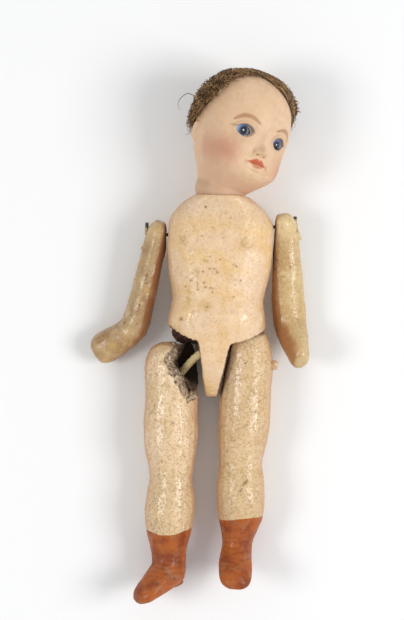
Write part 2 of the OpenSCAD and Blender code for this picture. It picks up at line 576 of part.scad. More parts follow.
module left_hip_plug() color(flesh) in_leg(1) leg_hip() difference() {
    union() {
        translate([0, 0, plug_in]) cylinder(r = plug_r, h = plug_out - plug_in);
        translate([0, 0, plug_out]) intersection() {
            sphere(r = plug_r);
            cylinder(r = plug_r, h = plug_r * 0.6);
        }
    }
    translate([0, 0, plug_in - 1]) cylinder(r = elastic_r + 0.15, h = 3);
}

// Dowel across the right thigh that the hip elastic is tied round
toggle_out = [-28, -5.6, 8];
toggle_in = [-8.6, -5.6, 4.2];
toggle_r = 1.2;
knot_r = 0.7;
knot_at = toggle_out + (toggle_in - toggle_out) * 0.68;
module toggle_bore() rod(toggle_out, toggle_in, toggle_r + glue);
module right_leg_toggle() color(wood_tan) rod(toggle_out, toggle_in, toggle_r);

// Hip elastic: along the left hip's axis, through the torso and slack down to the dowel
hip_dir = [cos(hip_slope), -sin(hip_slope), 0];
hip_left = [hip_face, hip_y, hip_z];
elastic_path = [hip_left + hip_dir * (plug_in + 1.7), hip_left + hip_dir * 9, hip_left + hip_dir * 3,
                [2, 5.1, hip_z], [-2, 5.1, hip_z], [-5, 4.7, hip_z - 0.2], [-7.2, 3.7, hip_z - 0.8],
                [-10.4, 0.4, hip_z - 2.4], [-12.8, -2.6, hip_z - 4.4], [-14.2, -4.6, hip_z - 6.2],
                [-14.8, -5.6, hip_z - 7]];
module hip_elastic() color(elastic_tan) {
    skin(tube_rings(elastic_path, elastic_r, 8));
    translate(knot_at) rotate([0, 90 + atan2(toggle_out.z - toggle_in.z, toggle_in.x - toggle_out.x), 0])
        rotate_extrude() translate([toggle_r + 0.3 + knot_r, 0]) circle(r = knot_r);
}

// Head elastic: one loop over the bend of the neck hook and under the hip elastic
loop_r = 0.9;
loop_top = neck_y - hook_len - hook_bend + hook_r + loop_r + 0.25;
loop_bottom = hip_y + 0.5 - elastic_r - loop_r - 0.35;
loop_side = 1.9 + elastic_r / 2;
loop_bend = 2.2;
function loop_point(k) = k < 7 ? let (a = 30 * k)
        [neck_at.x + hook_bend, loop_top - loop_bend + loop_bend * sin(a), neck_z - loop_bend * cos(a)]
    : let (a = 30 * (k - 7)) [0, loop_bottom + loop_side - loop_side * sin(a), hip_z + loop_side * cos(a)];
loop_path = [for (k = [0:13]) loop_point(k)];
function loop_heading(i) = unit(loop_path[(i + 1) % 14] - loop_path[(i + 13) % 14]);
module head_elastic() color(elastic_tan)
    ring_skin([for (i = [0:13]) let (t = loop_heading(i), up = unit(cross(t, [1, 0, 0])))
        [for (j = [0:7]) loop_path[i] + loop_r * ([1, 0, 0] * cos(45 * j) - up * sin(45 * j))]]);

// Middle of the whole doll's box, so that the origin lies below it on the table
module placed() translate([6.7, -10.9, 0]) children();

placed() bisque_head();
placed() right_eye();
placed() left_eye();
placed() eye_plaster();
placed() pate();
placed() wig_band();
placed() wig_tuft_right();
placed() wig_tuft_left();
placed() neck_button();
placed() neck_hook();
placed() torso_front();
placed() torso_back();
placed() shoulder_elastic();
placed() head_elastic();
placed() hip_elastic();
placed() right_arm();
placed() right_arm_hook();
placed() left_arm();
placed() left_arm_hook();
placed() right_leg_inner();
placed() right_leg_outer();
placed() right_leg_toggle();
placed() left_leg_inner();
placed() left_leg_outer();
placed() left_hip_plug();
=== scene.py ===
# %% [markdown]
# # A strung bisque doll
# The doll lies on its back: a bisque head with glass eyes, a pressed papier-mache torso, moulded arms and
# two hollow legs, one of them broken open at the hip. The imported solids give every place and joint. This
# lesson dresses them: skins are cast over the solids, the face is modelled again at a finer scale, and the
# old varnish, crazing, stains and wear are painted with nodes.

# %% Load the solids
import math
import random
import bmesh
import bpy
import numpy as np
from mathutils import Matrix, Vector, noise
from mathutils.bvhtree import BVHTree


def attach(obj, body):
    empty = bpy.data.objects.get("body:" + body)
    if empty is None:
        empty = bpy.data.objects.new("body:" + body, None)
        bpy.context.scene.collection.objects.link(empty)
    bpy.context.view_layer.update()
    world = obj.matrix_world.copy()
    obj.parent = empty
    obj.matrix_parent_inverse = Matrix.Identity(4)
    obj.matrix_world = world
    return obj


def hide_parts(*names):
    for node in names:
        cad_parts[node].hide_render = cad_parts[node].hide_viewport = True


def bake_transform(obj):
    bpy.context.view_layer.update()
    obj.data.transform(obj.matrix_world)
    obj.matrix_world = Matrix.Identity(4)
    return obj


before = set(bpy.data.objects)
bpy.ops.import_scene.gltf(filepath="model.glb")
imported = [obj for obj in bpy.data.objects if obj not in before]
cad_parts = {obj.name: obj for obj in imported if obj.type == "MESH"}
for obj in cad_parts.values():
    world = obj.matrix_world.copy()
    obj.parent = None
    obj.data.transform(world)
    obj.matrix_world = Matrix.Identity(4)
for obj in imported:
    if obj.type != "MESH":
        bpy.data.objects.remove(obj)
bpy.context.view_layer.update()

MM = 0.001
SHIFT = np.array((6.7, -10.9, 0.0))     # from the doll's midline and hip line to the middle of its box, mm

# %% [markdown]
# ## The camera
# The photograph was taken from straight above, a little turned. A long lens keeps the feet and the head at
# the same scale. The picture is 404 by 620 pixels, and one pixel is 0.41 mm at the height of the chest.

# %% Overhead camera
PICTURE_HIGH = 620
PIXEL = 0.41 * MM
CHEST_Z = 12 * MM
LENS_UP = 0.8
lens = bpy.data.cameras.new("overhead_camera")
lens.sensor_fit = "VERTICAL"
lens.sensor_height = 36
lens.lens = lens.sensor_height * LENS_UP / (PICTURE_HIGH * PIXEL)
camera = bpy.data.objects.new("overhead_camera", lens)
camera.location = (0.43 * MM, 11.4 * MM, CHEST_Z + LENS_UP)
camera.rotation_euler = (0, 0, math.radians(2.4))
bpy.context.collection.objects.link(camera)
bpy.context.scene.camera = camera
print("lens", round(lens.lens, 1), "mm")

# %% [markdown]
# ## Small tools for node trees
# A material is a web of nodes. These helpers add one node, link what is a socket and set what is a number,
# so that the recipes further down read like a list of paints.

# %% Node helpers
def plug(tree, socket, value):
    """Links what is a socket, and sets what is a plain value."""
    if isinstance(value, bpy.types.NodeSocket):
        tree.links.new(value, socket)
    else:
        socket.default_value = value


def add(tree, kind, inputs=None, **settings):
    made = tree.nodes.new("ShaderNode" + kind)
    for key, value in settings.items():
        setattr(made, key, value)
    for key, value in (inputs or {}).items():
        plug(tree, made.inputs[key], value)
    return made


def mix(tree, factor, under, over):
    made = add(tree, "Mix", data_type="RGBA")
    for index, value in ((0, factor), (6, under), (7, over)):
        plug(tree, made.inputs[index], (*value, 1) if isinstance(value, tuple) else value)
    return made.outputs[2]


def sums(tree, operation, first, second=0.0):
    return add(tree, "Math", {0: first, 1: second}, operation=operation).outputs[0]


def times(tree, first, second):
    return sums(tree, "MULTIPLY", first, second)


def most(tree, first, *others):
    """The largest of several values."""
    for other in others:
        first = sums(tree, "MAXIMUM", first, other)
    return first


def layered(tree, colour, layers):
    """Lays paints over a colour one after another, each with its cover and its amount."""
    for cover, amount, paint in layers:
        colour = mix(tree, times(tree, cover, amount), colour, paint)
    return colour


def fade(tree, value, low, high, start=0.0, end=1.0):
    """A smooth step: start below low, end above high."""
    ends = {"Value": value, "From Min": low, "From Max": high, "To Min": start, "To Max": end}
    return add(tree, "MapRange", ends, interpolation_type="SMOOTHSTEP").outputs["Result"]


def cloud(tree, vector, scale, detail=4, rough=0.55):
    inputs = {"Vector": vector, "Scale": scale, "Detail": detail, "Roughness": rough}
    return add(tree, "TexNoise", inputs).outputs["Fac"]


def mask(tree, name):
    """A mask that was painted on the mesh itself, one number for each point."""
    return add(tree, "Attribute", attribute_name=name).outputs["Fac"]


def group(name, outputs, **amounts):
    """A node group: a vector and some amounts go in, numbers come out."""
    tree = bpy.data.node_groups.new(name, "ShaderNodeTree")
    tree.interface.new_socket("Vector", in_out="INPUT", socket_type="NodeSocketVector")
    for label, value in amounts.items():
        made = tree.interface.new_socket(label.capitalize(), in_out="INPUT", socket_type="NodeSocketFloat")
        made.default_value = value
    for label in outputs:
        tree.interface.new_socket(label, in_out="OUTPUT", socket_type="NodeSocketFloat")
    return tree, tree.nodes.new("NodeGroupInput").outputs, tree.nodes.new("NodeGroupOutput").inputs


def place(tree, name, **inputs):
    made = add(tree, "Group", node_tree=bpy.data.node_groups[name])
    for key, value in inputs.items():
        plug(tree, made.inputs[key.capitalize()], value)
    return made.outputs


print("node helpers ready")

# %% [markdown]
# ## Finishes that more than one piece shares
# Old oil varnish crazes into short broken lines, dirt settles as specks, damp leaves soft stains, and the
# ground under the paint has a fine grain that breaks up the shine. Each of these is one node group, placed
# in the materials with its own scale, so torso, arms and legs age alike.

# %% Crazed varnish
tree, given, out = group("crazing", ["Lines"], scale=0.5, width=0.05, cover=0.5)
wander = add(tree, "TexNoise", {"Vector": given["Vector"], "Scale": 0.45, "Detail": 4})
bent = add(tree, "VectorMath", {0: wander.outputs["Color"], 1: (3, 3, 3), 2: given["Vector"]},
           operation="MULTIPLY_ADD")
net = add(tree, "TexVoronoi", {"Vector": bent.outputs[0], "Scale": given["Scale"], "Randomness": 1},
          feature="DISTANCE_TO_EDGE")
line = fade(tree, net.outputs["Distance"], 0.0, given["Width"], 1.0, 0.0)
broken = fade(tree, cloud(tree, given["Vector"], 0.6, 2), 0.46, 0.6)
region = cloud(tree, given["Vector"], 0.11, 3)
bare = sums(tree, "SUBTRACT", 1.0, given["Cover"])
spread = fade(tree, region, sums(tree, "SUBTRACT", bare, 0.12), sums(tree, "ADD", bare, 0.12))
tree.links.new(times(tree, line, times(tree, spread, broken)), out["Lines"])
print("crazing:", len(tree.nodes), "nodes")

# %% Specks of dirt
tree, given, out = group("specks", ["Mask"], scale=0.4, size=0.2, share=0.3)
cells = add(tree, "TexVoronoi", {"Vector": given["Vector"], "Scale": given["Scale"], "Randomness": 1})
dice = add(tree, "SeparateColor", {"Color": cells.outputs["Color"]})
reach = times(tree, given["Size"], sums(tree, "ADD", dice.outputs["Green"], 0.35))
dot = fade(tree, cells.outputs["Distance"], times(tree, reach, 0.55), reach, 1.0, 0.0)
kept = sums(tree, "LESS_THAN", dice.outputs["Red"], given["Share"])
tree.links.new(times(tree, dot, kept), out["Mask"])
print("specks:", len(tree.nodes), "nodes")

# %% Soft stains
tree, given, out = group("stains", ["Mask"], scale=0.08, low=0.5, high=0.7)
soft = cloud(tree, given["Vector"], given["Scale"], 5, 0.6)
tree.links.new(fade(tree, soft, given["Low"], given["High"]), out["Mask"])
print("stains:", len(tree.nodes), "nodes")

# %% Grain of the ground
tree, given, out = group("grain", ["Tone", "Height"], scale=1.0)
cells = add(tree, "TexVoronoi", {"Vector": given["Vector"], "Scale": given["Scale"], "Randomness": 1})
dice = add(tree, "SeparateColor", {"Color": cells.outputs["Color"]})
dust = cloud(tree, given["Vector"], times(tree, given["Scale"], 0.9), 5, 0.65)
toned = sums(tree, "ADD", times(tree, dice.outputs["Blue"], 0.45), times(tree, dust, 0.55))
tree.links.new(toned, out["Tone"])
tree.links.new(sums(tree, "SUBTRACT", dust, times(tree, cells.outputs["Distance"], 0.5)), out["Height"])
print("grain:", len(tree.nodes), "nodes")

# %% [markdown]
# ## Painted masks on a mesh
# Some marks belong to a place: dirt lies in the creases, and paint rubs off the ridges. The bend of the
# mesh at each point tells the two apart, so it is measured once and kept on the mesh for the materials to
# read. Single cracks, spots and brush strokes are laid down the same way, by the distance of a point to a
# short path.

# %% Masks from the shape
def link_in(piece):
    bpy.context.collection.objects.link(piece)
    return piece


def all_smooth(mesh):
    mesh.polygons.foreach_set("use_smooth", np.ones(len(mesh.polygons), dtype=bool))


def settle(piece):
    """Bakes a piece's modifiers into its mesh."""
    ready = piece.evaluated_get(bpy.context.evaluated_depsgraph_get())
    baked = bpy.data.meshes.new_from_object(ready)
    piece.modifiers.clear()
    piece.data = baked
    baked.name = piece.name
    all_smooth(baked)


def points(mesh):
    flat = np.empty(len(mesh.vertices) * 3)
    mesh.vertices.foreach_get("co", flat)
    return flat.reshape(-1, 3) / MM


def set_points(mesh, at):
    mesh.vertices.foreach_set("co", (at * MM).ravel())
    mesh.update()


def directions(mesh):
    flat = np.empty(len(mesh.vertices) * 3)
    mesh.vertex_normals.foreach_get("vector", flat)
    return flat.reshape(-1, 3)


def keep(mesh, name, values):
    kept = np.asarray(values, dtype=np.float32)
    mesh.attributes.new(name, "FLOAT", "POINT").data.foreach_set("value", kept)


def smoothstep(t):
    t = np.clip(t, 0, 1)
    return t * t * (3 - 2 * t)


def ripple(at, scale):
    """Soft noise at each point."""
    return np.array([noise.noise(Vector(p) * scale) for p in at])


def bend(mesh, rounds=8):
    """How far each point stands out from its neighbours, blurred: above 0 on ridges, below 0 in creases."""
    at = points(mesh)
    pairs = np.empty(len(mesh.edges) * 2, dtype=np.int64)
    mesh.edges.foreach_get("vertices", pairs)
    a, b = pairs.reshape(-1, 2).T
    count = np.maximum(np.bincount(pairs, minlength=len(at)), 1)

    def near(values):
        return (np.bincount(a, values[b], len(at)) + np.bincount(b, values[a], len(at))) / count

    pull = np.stack([near(at[:, k]) - at[:, k] for k in range(3)], axis=1)
    out = -np.einsum("ij,ij->i", pull, directions(mesh))
    for _ in range(rounds):
        out = (out + near(out)) / 2
    return out


print("mask tools ready")

# %% Brush strokes and dabs
def stroke(x, y, path, width):
    """1 on a brushed line, 0 away from it; the line thins towards its ends."""
    best = np.full(x.shape, 9.0)
    path = np.array(path)
    count = len(path) - 1
    for k in range(count):
        p, q = path[k], path[k + 1]
        d = q - p
        along = np.clip(((x - p[0]) * d[0] + (y - p[1]) * d[1]) / (d @ d), 0, 1)
        span = (k + along) / count
        thin = width * (0.35 + 0.65 * np.sin(np.pi * np.clip(span * 0.9 + 0.05, 0, 1)))
        best = np.minimum(best, np.hypot(x - p[0] - along * d[0], y - p[1] - along * d[1]) / thin)
    return 1 - smoothstep((best - 0.5) / 0.7)


def dabs(x, y, spots):
    """Round soft dabs, each with its place and radius."""
    return np.max([np.exp(-((x - a) ** 2 + (y - b) ** 2) / r ** 2) for a, b, r in spots], axis=0)


print("brushes ready")

# %% [markdown]
# ## Meshes from rows of points
# Hairs, cords, eyes, torn sheets and the head itself are all grids: rows of points, with a face between
# each four of them. One tool lays the faces, so that a piece only has to say where its points are.

# %% Mesh tools
def quads(rows, columns, ring_rows=False, ring_columns=False):
    """The faces of a grid of points, row by row; it can close on itself either way."""
    faces = []
    for r in range(rows if ring_rows else rows - 1):
        here, there = r * columns, (r + 1) % rows * columns
        for k in range(columns if ring_columns else columns - 1):
            after = (k + 1) % columns
            faces.append((here + k, here + after, there + after, there + k))
    return faces


def poured(shape, name):
    """A mesh from a finished bmesh."""
    mesh = bpy.data.meshes.new(name)
    shape.to_mesh(mesh)
    shape.free()
    return mesh


def build(name, places, faces, outwards=False):
    """A piece from points in millimetres and faces, which are turned to look outwards if asked."""
    mesh = bpy.data.meshes.new(name)
    mesh.from_pydata((np.asarray(places) * MM).tolist(), [], faces)
    if outwards:
        shape = bmesh.new()
        shape.from_mesh(mesh)
        bmesh.ops.recalc_face_normals(shape, faces=shape.faces)
        shape.to_mesh(mesh)
        shape.free()
    all_smooth(mesh)
    return link_in(bpy.data.objects.new(name, mesh))


print("mesh tools ready")

# %% [markdown]
# ## Skins cast over the solids
# A torso was pressed in two halves, glued and painted as one. The same is done here: the halves of a limb
# are put together, cast again as one fine skin, rubbed smooth, and given the slight lumps of hand work. The
# mask named side marks where a skin turns down to the table, or an arm towards the body: there the colour
# is browned and darkened as painted shade.

# %% The casting tool
SKIN_LUMP, SKIN_WAVE = 0.3, 0.12        # height of the lumps in mm, and how close they lie
DOME_PINCH = 0.36                       # how far the top of an arm is drawn in to a round end


def skin(name, body, nodes, voxel=0.48, rub=7, dome=0, towards=None, fillers=()):
    """The solids of a limb cast as one skin, with its lumps, its crumbs of filler and two masks."""
    shell = bmesh.new()
    for solid in nodes:
        shell.from_mesh(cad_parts[solid].data)
    bmesh.ops.remove_doubles(shell, verts=shell.verts, dist=1e-6)
    piece = link_in(bpy.data.objects.new(name, poured(shell, name)))
    cast = piece.modifiers.new("cast", "REMESH")
    cast.mode = "VOXEL"
    cast.voxel_size = voxel * MM
    rubbed = piece.modifiers.new("rubbed", "SMOOTH")
    rubbed.factor = 0.5
    rubbed.iterations = rub
    settle(piece)
    at = points(piece.data)
    if dome:
        near_top = np.clip((at[:, 1] - at[:, 1].max() + dome) / dome, 0, 1)
        middle = at[near_top > 0].mean(axis=0)
        for k in (0, 2):
            at[:, k] += (middle[k] - at[:, k]) * DOME_PINCH * near_top ** 3
    lumps = ripple(at, SKIN_WAVE) + 0.4 * ripple(at, SKIN_WAVE * 3.1)
    raised = (lumps - 0.5) * SKIN_LUMP
    crumbs = 1 + 0.9 * ripple(at, 1.1)
    for x, y, reach, high in fillers:
        far = np.hypot(at[:, 0] - SHIFT[0] - x, at[:, 1] - SHIFT[1] - y) / reach
        raised += high * np.exp(-far ** 2) * crumbs
    set_points(piece.data, at + directions(piece.data) * raised[:, None])
    keep(piece.data, "ridge", bend(piece.data))
    facing = directions(piece.data)
    # side holds painted shade: 1 where the skin turns down to the table, or on an arm where it faces the body
    turned = np.clip(facing[:, 0] * towards * 1.3, 0, 1) if towards else 1 - np.abs(facing[:, 2])
    keep(piece.data, "side", turned)
    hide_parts(*nodes)
    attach(piece, body)
    print(name, len(piece.data.polygons), "faces")
    return piece


# x, y, reach and height in mm of the crumbs of old filler at the hooks' outer ends
RIGHT_FILLERS = [(-32.1, 46.8, 0.9, 0.8), (-31.9, 48.6, 0.9, 0.7), (-31.6, 50.6, 1.0, 0.7),
                 (-31.2, 52.8, 1.0, 0.6)]
LEFT_FILLERS = [(32.3, 53.4, 1.0, 0.9), (32.1, 55.4, 1.0, 0.9), (31.8, 57.4, 1.0, 0.8),
                (31.4, 59.2, 0.9, 0.6)]
ARM_CAST = {"voxel": 0.32, "rub": 14, "dome": 5}
torso_skin = skin("torso_skin", "torso", ("torso_front", "torso_back"), voxel=0.46, rub=12)
right_arm_skin = skin("right_arm_skin", "right_arm", ("right_arm",), towards=1, fillers=RIGHT_FILLERS,
                      **ARM_CAST)
left_arm_skin = skin("left_arm_skin", "left_arm", ("left_arm",), towards=-1, fillers=LEFT_FILLERS, **ARM_CAST)
left_leg_skin = skin("left_leg_skin", "left_leg", ("left_leg_inner", "left_leg_outer"), voxel=0.44)
right_leg_skin = skin("right_leg_skin", "right_leg", ("right_leg_inner", "right_leg_outer"), voxel=0.42,
                      rub=4)

# %% [markdown]
# ## Boots and the broken hip, as masks
# The boots are only painted on, so a signed distance to the boot's top edge is kept on each leg. On the
# right leg a second mask marks bare carton: the inside of the shell, and the torn edge round the hole. A
# third one says how deep in the hollow a point lies, and there the carton is painted nearly black as
# painted shade.

# %% Leg masks
BREAK = np.array([(-6.6, -12.4), (-7.6, -14.2), (-9, -14.2), (-10.4, -15.4), (-11.6, -13), (-13.4, -11.4),
                  (-14, -9), (-16, -7.6), (-16.4, -5.2), (-18.4, -4), (-19, -1.4), (-20.6, 1), (-20.2, 3.4),
                  (-18.4, 4.4), (-17.4, 6.6), (-16.6, 9)])      # the edge of the break in plan, mm
BREAK_FLOOR = 8.9                                               # the break's lowest height, mm
BOOT_TOPS = {"left": ((3.4, 6.7, 12.7, 21.6), (-63.2, -62.9, -61.9, -61.0)),
             "right": ((-24.9, -19.5, -13.4, -6.6), (-68.5, -69.9, -69.3, -66.9))}


def through(rows, t):
    """A smooth curve through the rows, t counted in rows."""
    i = np.clip(np.floor(t).astype(int), 0, len(rows) - 2)
    f = (t - i)[:, None]
    p = [rows[np.clip(i + k, 0, len(rows) - 1)] for k in (-1, 0, 1, 2)]
    return 0.5 * (2 * p[1] + (p[2] - p[0]) * f + (2 * p[0] - 5 * p[1] + 4 * p[2] - p[3]) * f ** 2
                  + (3 * p[1] - p[0] - 3 * p[2] + p[3]) * f ** 3)


def to_path(at, path):
    """Distance in plan from each point to a path."""
    best = np.full(len(at), 1e9)
    for p, q in zip(path, path[1:]):
        along = np.clip(((at - p) @ (q - p)) / ((q - p) @ (q - p)), 0, 1)
        best = np.minimum(best, np.linalg.norm(at - p - along[:, None] * (q - p), axis=1))
    return best


def tree_of(piece):
    seeing = bmesh.new()
    seeing.from_mesh(piece.data)
    tree = BVHTree.FromBMesh(seeing)
    seeing.free()
    return tree


def inside_shell(piece, reach=0.024):
    """1 where a look straight out of the surface meets the same shell again."""
    shell = tree_of(piece)
    return np.array([1.0 if shell.ray_cast(Vector(p + n * 2e-4), Vector(n), reach)[0] else 0.0
                     for p, n in zip(points(piece.data) * MM, directions(piece.data))])


for leg, side in ((left_leg_skin, "left"), (right_leg_skin, "right")):
    at = points(leg.data) - SHIFT
    keep(leg.data, "boot", np.interp(at[:, 0], *BOOT_TOPS[side]) - at[:, 1])
    raw = inside_shell(leg)
    if side == "right":
        to_edge = to_path(at[:, :2], BREAK) + 0.5 * ripple(at, 0.9)
        torn = smoothstep((0.6 - to_edge) / 0.4) * (at[:, 2] > BREAK_FLOOR - 0.5)
        rough_edge = np.maximum(torn, raw * smoothstep((at[:, 2] - 4) / 4))
        shreds = rough_edge * 0.35 * (ripple(at, 1.6) - 0.4)
        set_points(leg.data, at + SHIFT + directions(leg.data) * shreds[:, None])
        raw = np.maximum(raw, torn)
        # deep: painted shade, darkening the carton away from the break's edge
        keep(leg.data, "deep", smoothstep((to_edge - 3) / 1.5))
    keep(leg.data, "raw", raw)
    print(leg.name, "bare carton on", int(raw.sum()), "points")

# %% [markdown]
# ## The torn rim and what lies behind it
# Papier-mache tears in layers: the break has a ragged rim, and behind it the rough back of the carton
# shows. A plain hole in a thin skin would look cut with scissors, so three rough sheets are laid in: a rim
# that follows the break and leans inwards, a lining of the thigh, and one of the hip socket. The socket's
# sheet is nearly black, painted shade in the gap under the torso, and the thigh's lining darkens away from
# the break as painted shade. Each starts as a small grid of points, is cut finer, torn with noise and given
# the thickness of board.

# %% Torn linings of the thigh and of the hip socket
THIGH_ROWS = [(8, -15.6, -9.8, 8.6, 5.5, 5), (5, -18, -8.4, 9, 6.4, 5.6), (0, -19.6, -7.7, 9.2, 6.8, 5.8),
              (-5, -18.6, -6.9, 9.2, 7, 6), (-9, -16, -6.7, 9.6, 7.4, 6.6), (-13, -13, -7.4, 12, 8.6, 9),
              (-15, -11.4, -8.8, 14.5, 12.4, 12.4)]      # y, both edges, heights at left, middle and right
SOCKET_ROWS = [(14.4, -18.4, 13), (12.6, -18.2, 11), (11, -17.4, 9.4), (9.8, -16.4, 7.6), (9.4, -15.4, 5),
               (8.6, -14.6, 2.6)]       # y, left edge and height
SOCKET_END = -6.5
HOLE_MID = np.array((-11, -2))
RIM_STEPS = ((-0.6, -0.5), (0.7, -0.9), (1.9, -1.3), (3, -2.6), (4, -6.5))      # inwards from the edge, down
TORN_DEEP, BOARD_T = 0.55, 0.6


def lining(name, body, grid, finer=4):
    """A rough sheet of torn carton through a grid of points."""
    piece = build(name, [np.array(p) + SHIFT for row in grid for p in row], quads(len(grid), len(grid[0])))
    cut = piece.modifiers.new("cut", "SUBSURF")
    cut.levels = cut.render_levels = finer
    settle(piece)
    at = points(piece.data)
    torn = ripple(at, 0.7) + 0.5 * ripple(at, 1.9)
    set_points(piece.data, at + directions(piece.data) * TORN_DEEP * torn[:, None])
    board = piece.modifiers.new("board", "SOLIDIFY")
    board.thickness = BOARD_T * MM
    settle(piece)
    at = points(piece.data) - SHIFT
    keep(piece.data, "raw", np.ones(len(at)))
    # Painted shade: the board is darkened more than 4.5 mm from the break, most of all above y = -6 mm
    hollow_shade = smoothstep((to_path(at[:, :2], BREAK) - 3) / 1.5)
    keep(piece.data, "deep", hollow_shade * (0.45 + 0.55 * smoothstep((at[:, 1] + 10) / 4)))
    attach(piece, body)
    print(name, len(piece.data.polygons), "faces")
    return piece


rim_path = through(BREAK, np.linspace(0, len(BREAK) - 1, 40))
inward = HOLE_MID - rim_path
inward /= np.linalg.norm(inward, axis=1)[:, None]
thigh_tree = tree_of(right_leg_skin)
hits = [thigh_tree.ray_cast(Vector((*((p - 1.2 * d + SHIFT[:2]) * MM), 0.06)), Vector((0, 0, -1)))[0]
        for p, d in zip(rim_path, inward)]
met = [k for k, hit in enumerate(hits) if hit]
rim_high = np.interp(range(len(hits)), met, [hits[k].z / MM for k in met])
rim_high = np.convolve(np.pad(rim_high, 3, "edge"), np.ones(7) / 7, "valid")
print("torn rim at heights", rim_high[::6].round(1))
rim_grid = [[(*(p + d * step), high + down) for step, down in RIM_STEPS]
            for p, d, high in zip(rim_path, inward, rim_high)]
thigh_grid = [[(a + (b - a) * s, y, np.interp(s, (0, .5, 1), heights)) for s in (0, .25, .5, .75, 1)]
              for y, a, b, *heights in THIGH_ROWS]
socket_grid = [[(x, y, z) for x in np.linspace(a, SOCKET_END, 6)] for y, a, z in SOCKET_ROWS]
torn_rim = lining("torn_rim", "right_leg", rim_grid, finer=2)
thigh_lining = lining("thigh_lining", "right_leg", thigh_grid)
socket_shade_lining = lining("socket_shade_lining", "torso", socket_grid)

# %% [markdown]
# ## Grime and painted shade at the joints
# Arms and legs have rubbed against the body for years, and dirt has settled where they meet; the same mask
# also paints the shade that falls in the narrow gaps there. That belongs to the place and not to the form of
# one piece, so it is measured: each point asks how far the neighbour is, and the nearest points get the
# grime and the painted shade.

# %% Grime and painted shade where two limbs meet
ARM_NEAR, LEG_NEAR, TORSO_NEAR = 1.4, 2.2, 2.1      # how near the neighbour has to be, mm


def grime_and_shade(piece, neighbours, soft=1.2):
    """1 where another limb lies close by."""
    trees = [(tree_of(other), near) for other, near in neighbours]
    worst = []
    for p in points(piece.data) * MM:
        found = [(near, tree.find_nearest(Vector(p), near * MM)[3]) for tree, near in trees]
        worst.append(max([near - far / MM for near, far in found if far is not None] + [0]))
    keep(piece.data, "joint", smoothstep(np.array(worst) / soft))


LIMBS = [(right_arm_skin, ARM_NEAR), (left_arm_skin, ARM_NEAR),
         (right_leg_skin, LEG_NEAR), (left_leg_skin, LEG_NEAR)]
grime_and_shade(torso_skin, LIMBS)
for limb, _ in LIMBS:
    grime_and_shade(limb, [(torso_skin, TORSO_NEAR)], soft=1.5)
print("grime at the joints painted")

# %% [markdown]
# ## Marks of age, put down one by one
# Some marks are large enough to know by their place: the dark specks on the belly, a few fine cracks below
# the chest, a rust stain under the arm, a scrape on the right forearm. Each is a dab or a stroke in plan,
# in millimetres from the doll's midline and hip line, laid on the side that faces up.

# %% Spots, cracks and stains
TORSO_SPOTS = [(-6.5, 63.7, .5), (3.7, 59.8, .28), (1.7, 61.4, .28), (-11.2, 34, .5), (-5.9, 33.3, .45),
               (-5.3, 31.6, .5), (8.8, 34.8, .45), (-.8, 37.6, .5), (-14.5, 18.3, .75), (-4.3, 23.6, .4),
               (-13.2, 31.5, .4), (-2.4, 29.6, .4), (6.2, 28, .35), (-8.2, 30.4, .4), (-7.6, 52, .28),
               (1, 51.6, .25), (-14, 55.6, .25)]        # x, y and radius, mm
TORSO_CRACKS = [[(-8.7, 33.6), (-8.5, 31.4)], [(-.1, 43.1), (1.7, 43), (3.9, 42.6)],
                [(-1.2, 42.4), (-1.7, 40.8)], [(-5.5, 43.2), (-2.7, 43.5)],
                [(-5.2, 39), (-3.4, 39.1), (-.8, 39.3)], [(-.8, 39.4), (-.8, 37.6)],
                [(-4.3, 32), (-2.2, 30.5)], [(-6.4, 42.2), (-4.8, 42)], [(5.6, 40.8), (7.2, 40)]]
TORSO_STAINS = [(-15.3, 50.5, 1.8), (-14, 49, 1.1), (-11.7, 26.5, 1.4), (-11.6, 29.6, 1.2), (-9.3, 37.1, 1.6),
                (9.5, 49.2, 2), (12, 48.4, 1.4), (-4.6, 24, 1.6)]
ARM_SPOTS = [(-29.2, 35.6, .4), (-29.5, 32.2, .4), (-31.8, 23.3, .45), (-35.1, 19, .45), (-32.5, 15.5, .4),
             (-37.8, 15.7, .45), (23.4, 44, .5), (22.8, 40.3, .5), (29, 41.4, .4), (33, 20, .35)]
ARM_CRACKS = [[(-30.5, 54.8), (-30.6, 52.3), (-30.4, 48.2)], [(30.3, 61), (30.8, 58.2), (31.1, 55.3)],
              [(-29, 36.2), (-29.6, 33.8), (-29.4, 31)], [(25.6, 37), (27.4, 36.6)]]
ARM_STAINS = [(-29, 29.3, 1.7), (-42, 6.1, 2.2), (-45.1, -.5, 2), (-36.6, 10.4, 1.6), (-33, 41, 2),
              (33.6, 8, 1.8)]
LEG_SPOTS = [(14.9, -46, .5), (14.3, -46.9, .7), (13.6, -47.7, .5), (12.8, -49.6, .4), (12.3, -50.4, .55),
             (9, -30, .4), (17, -18, .45), (-16, -24, .45), (-20, -40, .4), (-12, -58, .45), (-21, -16, .4)]


WANDER_FROM = (131.0, -247.0)       # two far places in the noise, so that cracks wander aside and along


def age(piece, spots, cracks=(), stained=()):
    """Keeps three masks on a piece: dark marks, rust stains, and how much of the shine is left."""
    at = points(piece.data) - SHIFT
    x, y = at[:, 0], at[:, 1]
    up = smoothstep(directions(piece.data)[:, 2] / 0.3)
    dirt = dabs(x, y, spots)
    gaps = smoothstep((ripple(at, 1.5) + 0.25) / 0.25)
    aside, along = (0.9 * ripple(at + away, 0.55) for away in WANDER_FROM)
    for path in cracks:
        dirt = np.maximum(dirt, 0.7 * gaps * stroke(x + aside, y + along, path, 0.34))
    keep(piece.data, "marks", dirt * up)
    keep(piece.data, "rust", (dabs(x, y, stained) if len(stained) else 0 * x) * up)
    keep(piece.data, "shine", 0.25 + 0.75 * smoothstep((25 - y) / 6) if piece is torso_skin else 0 * x + 1)


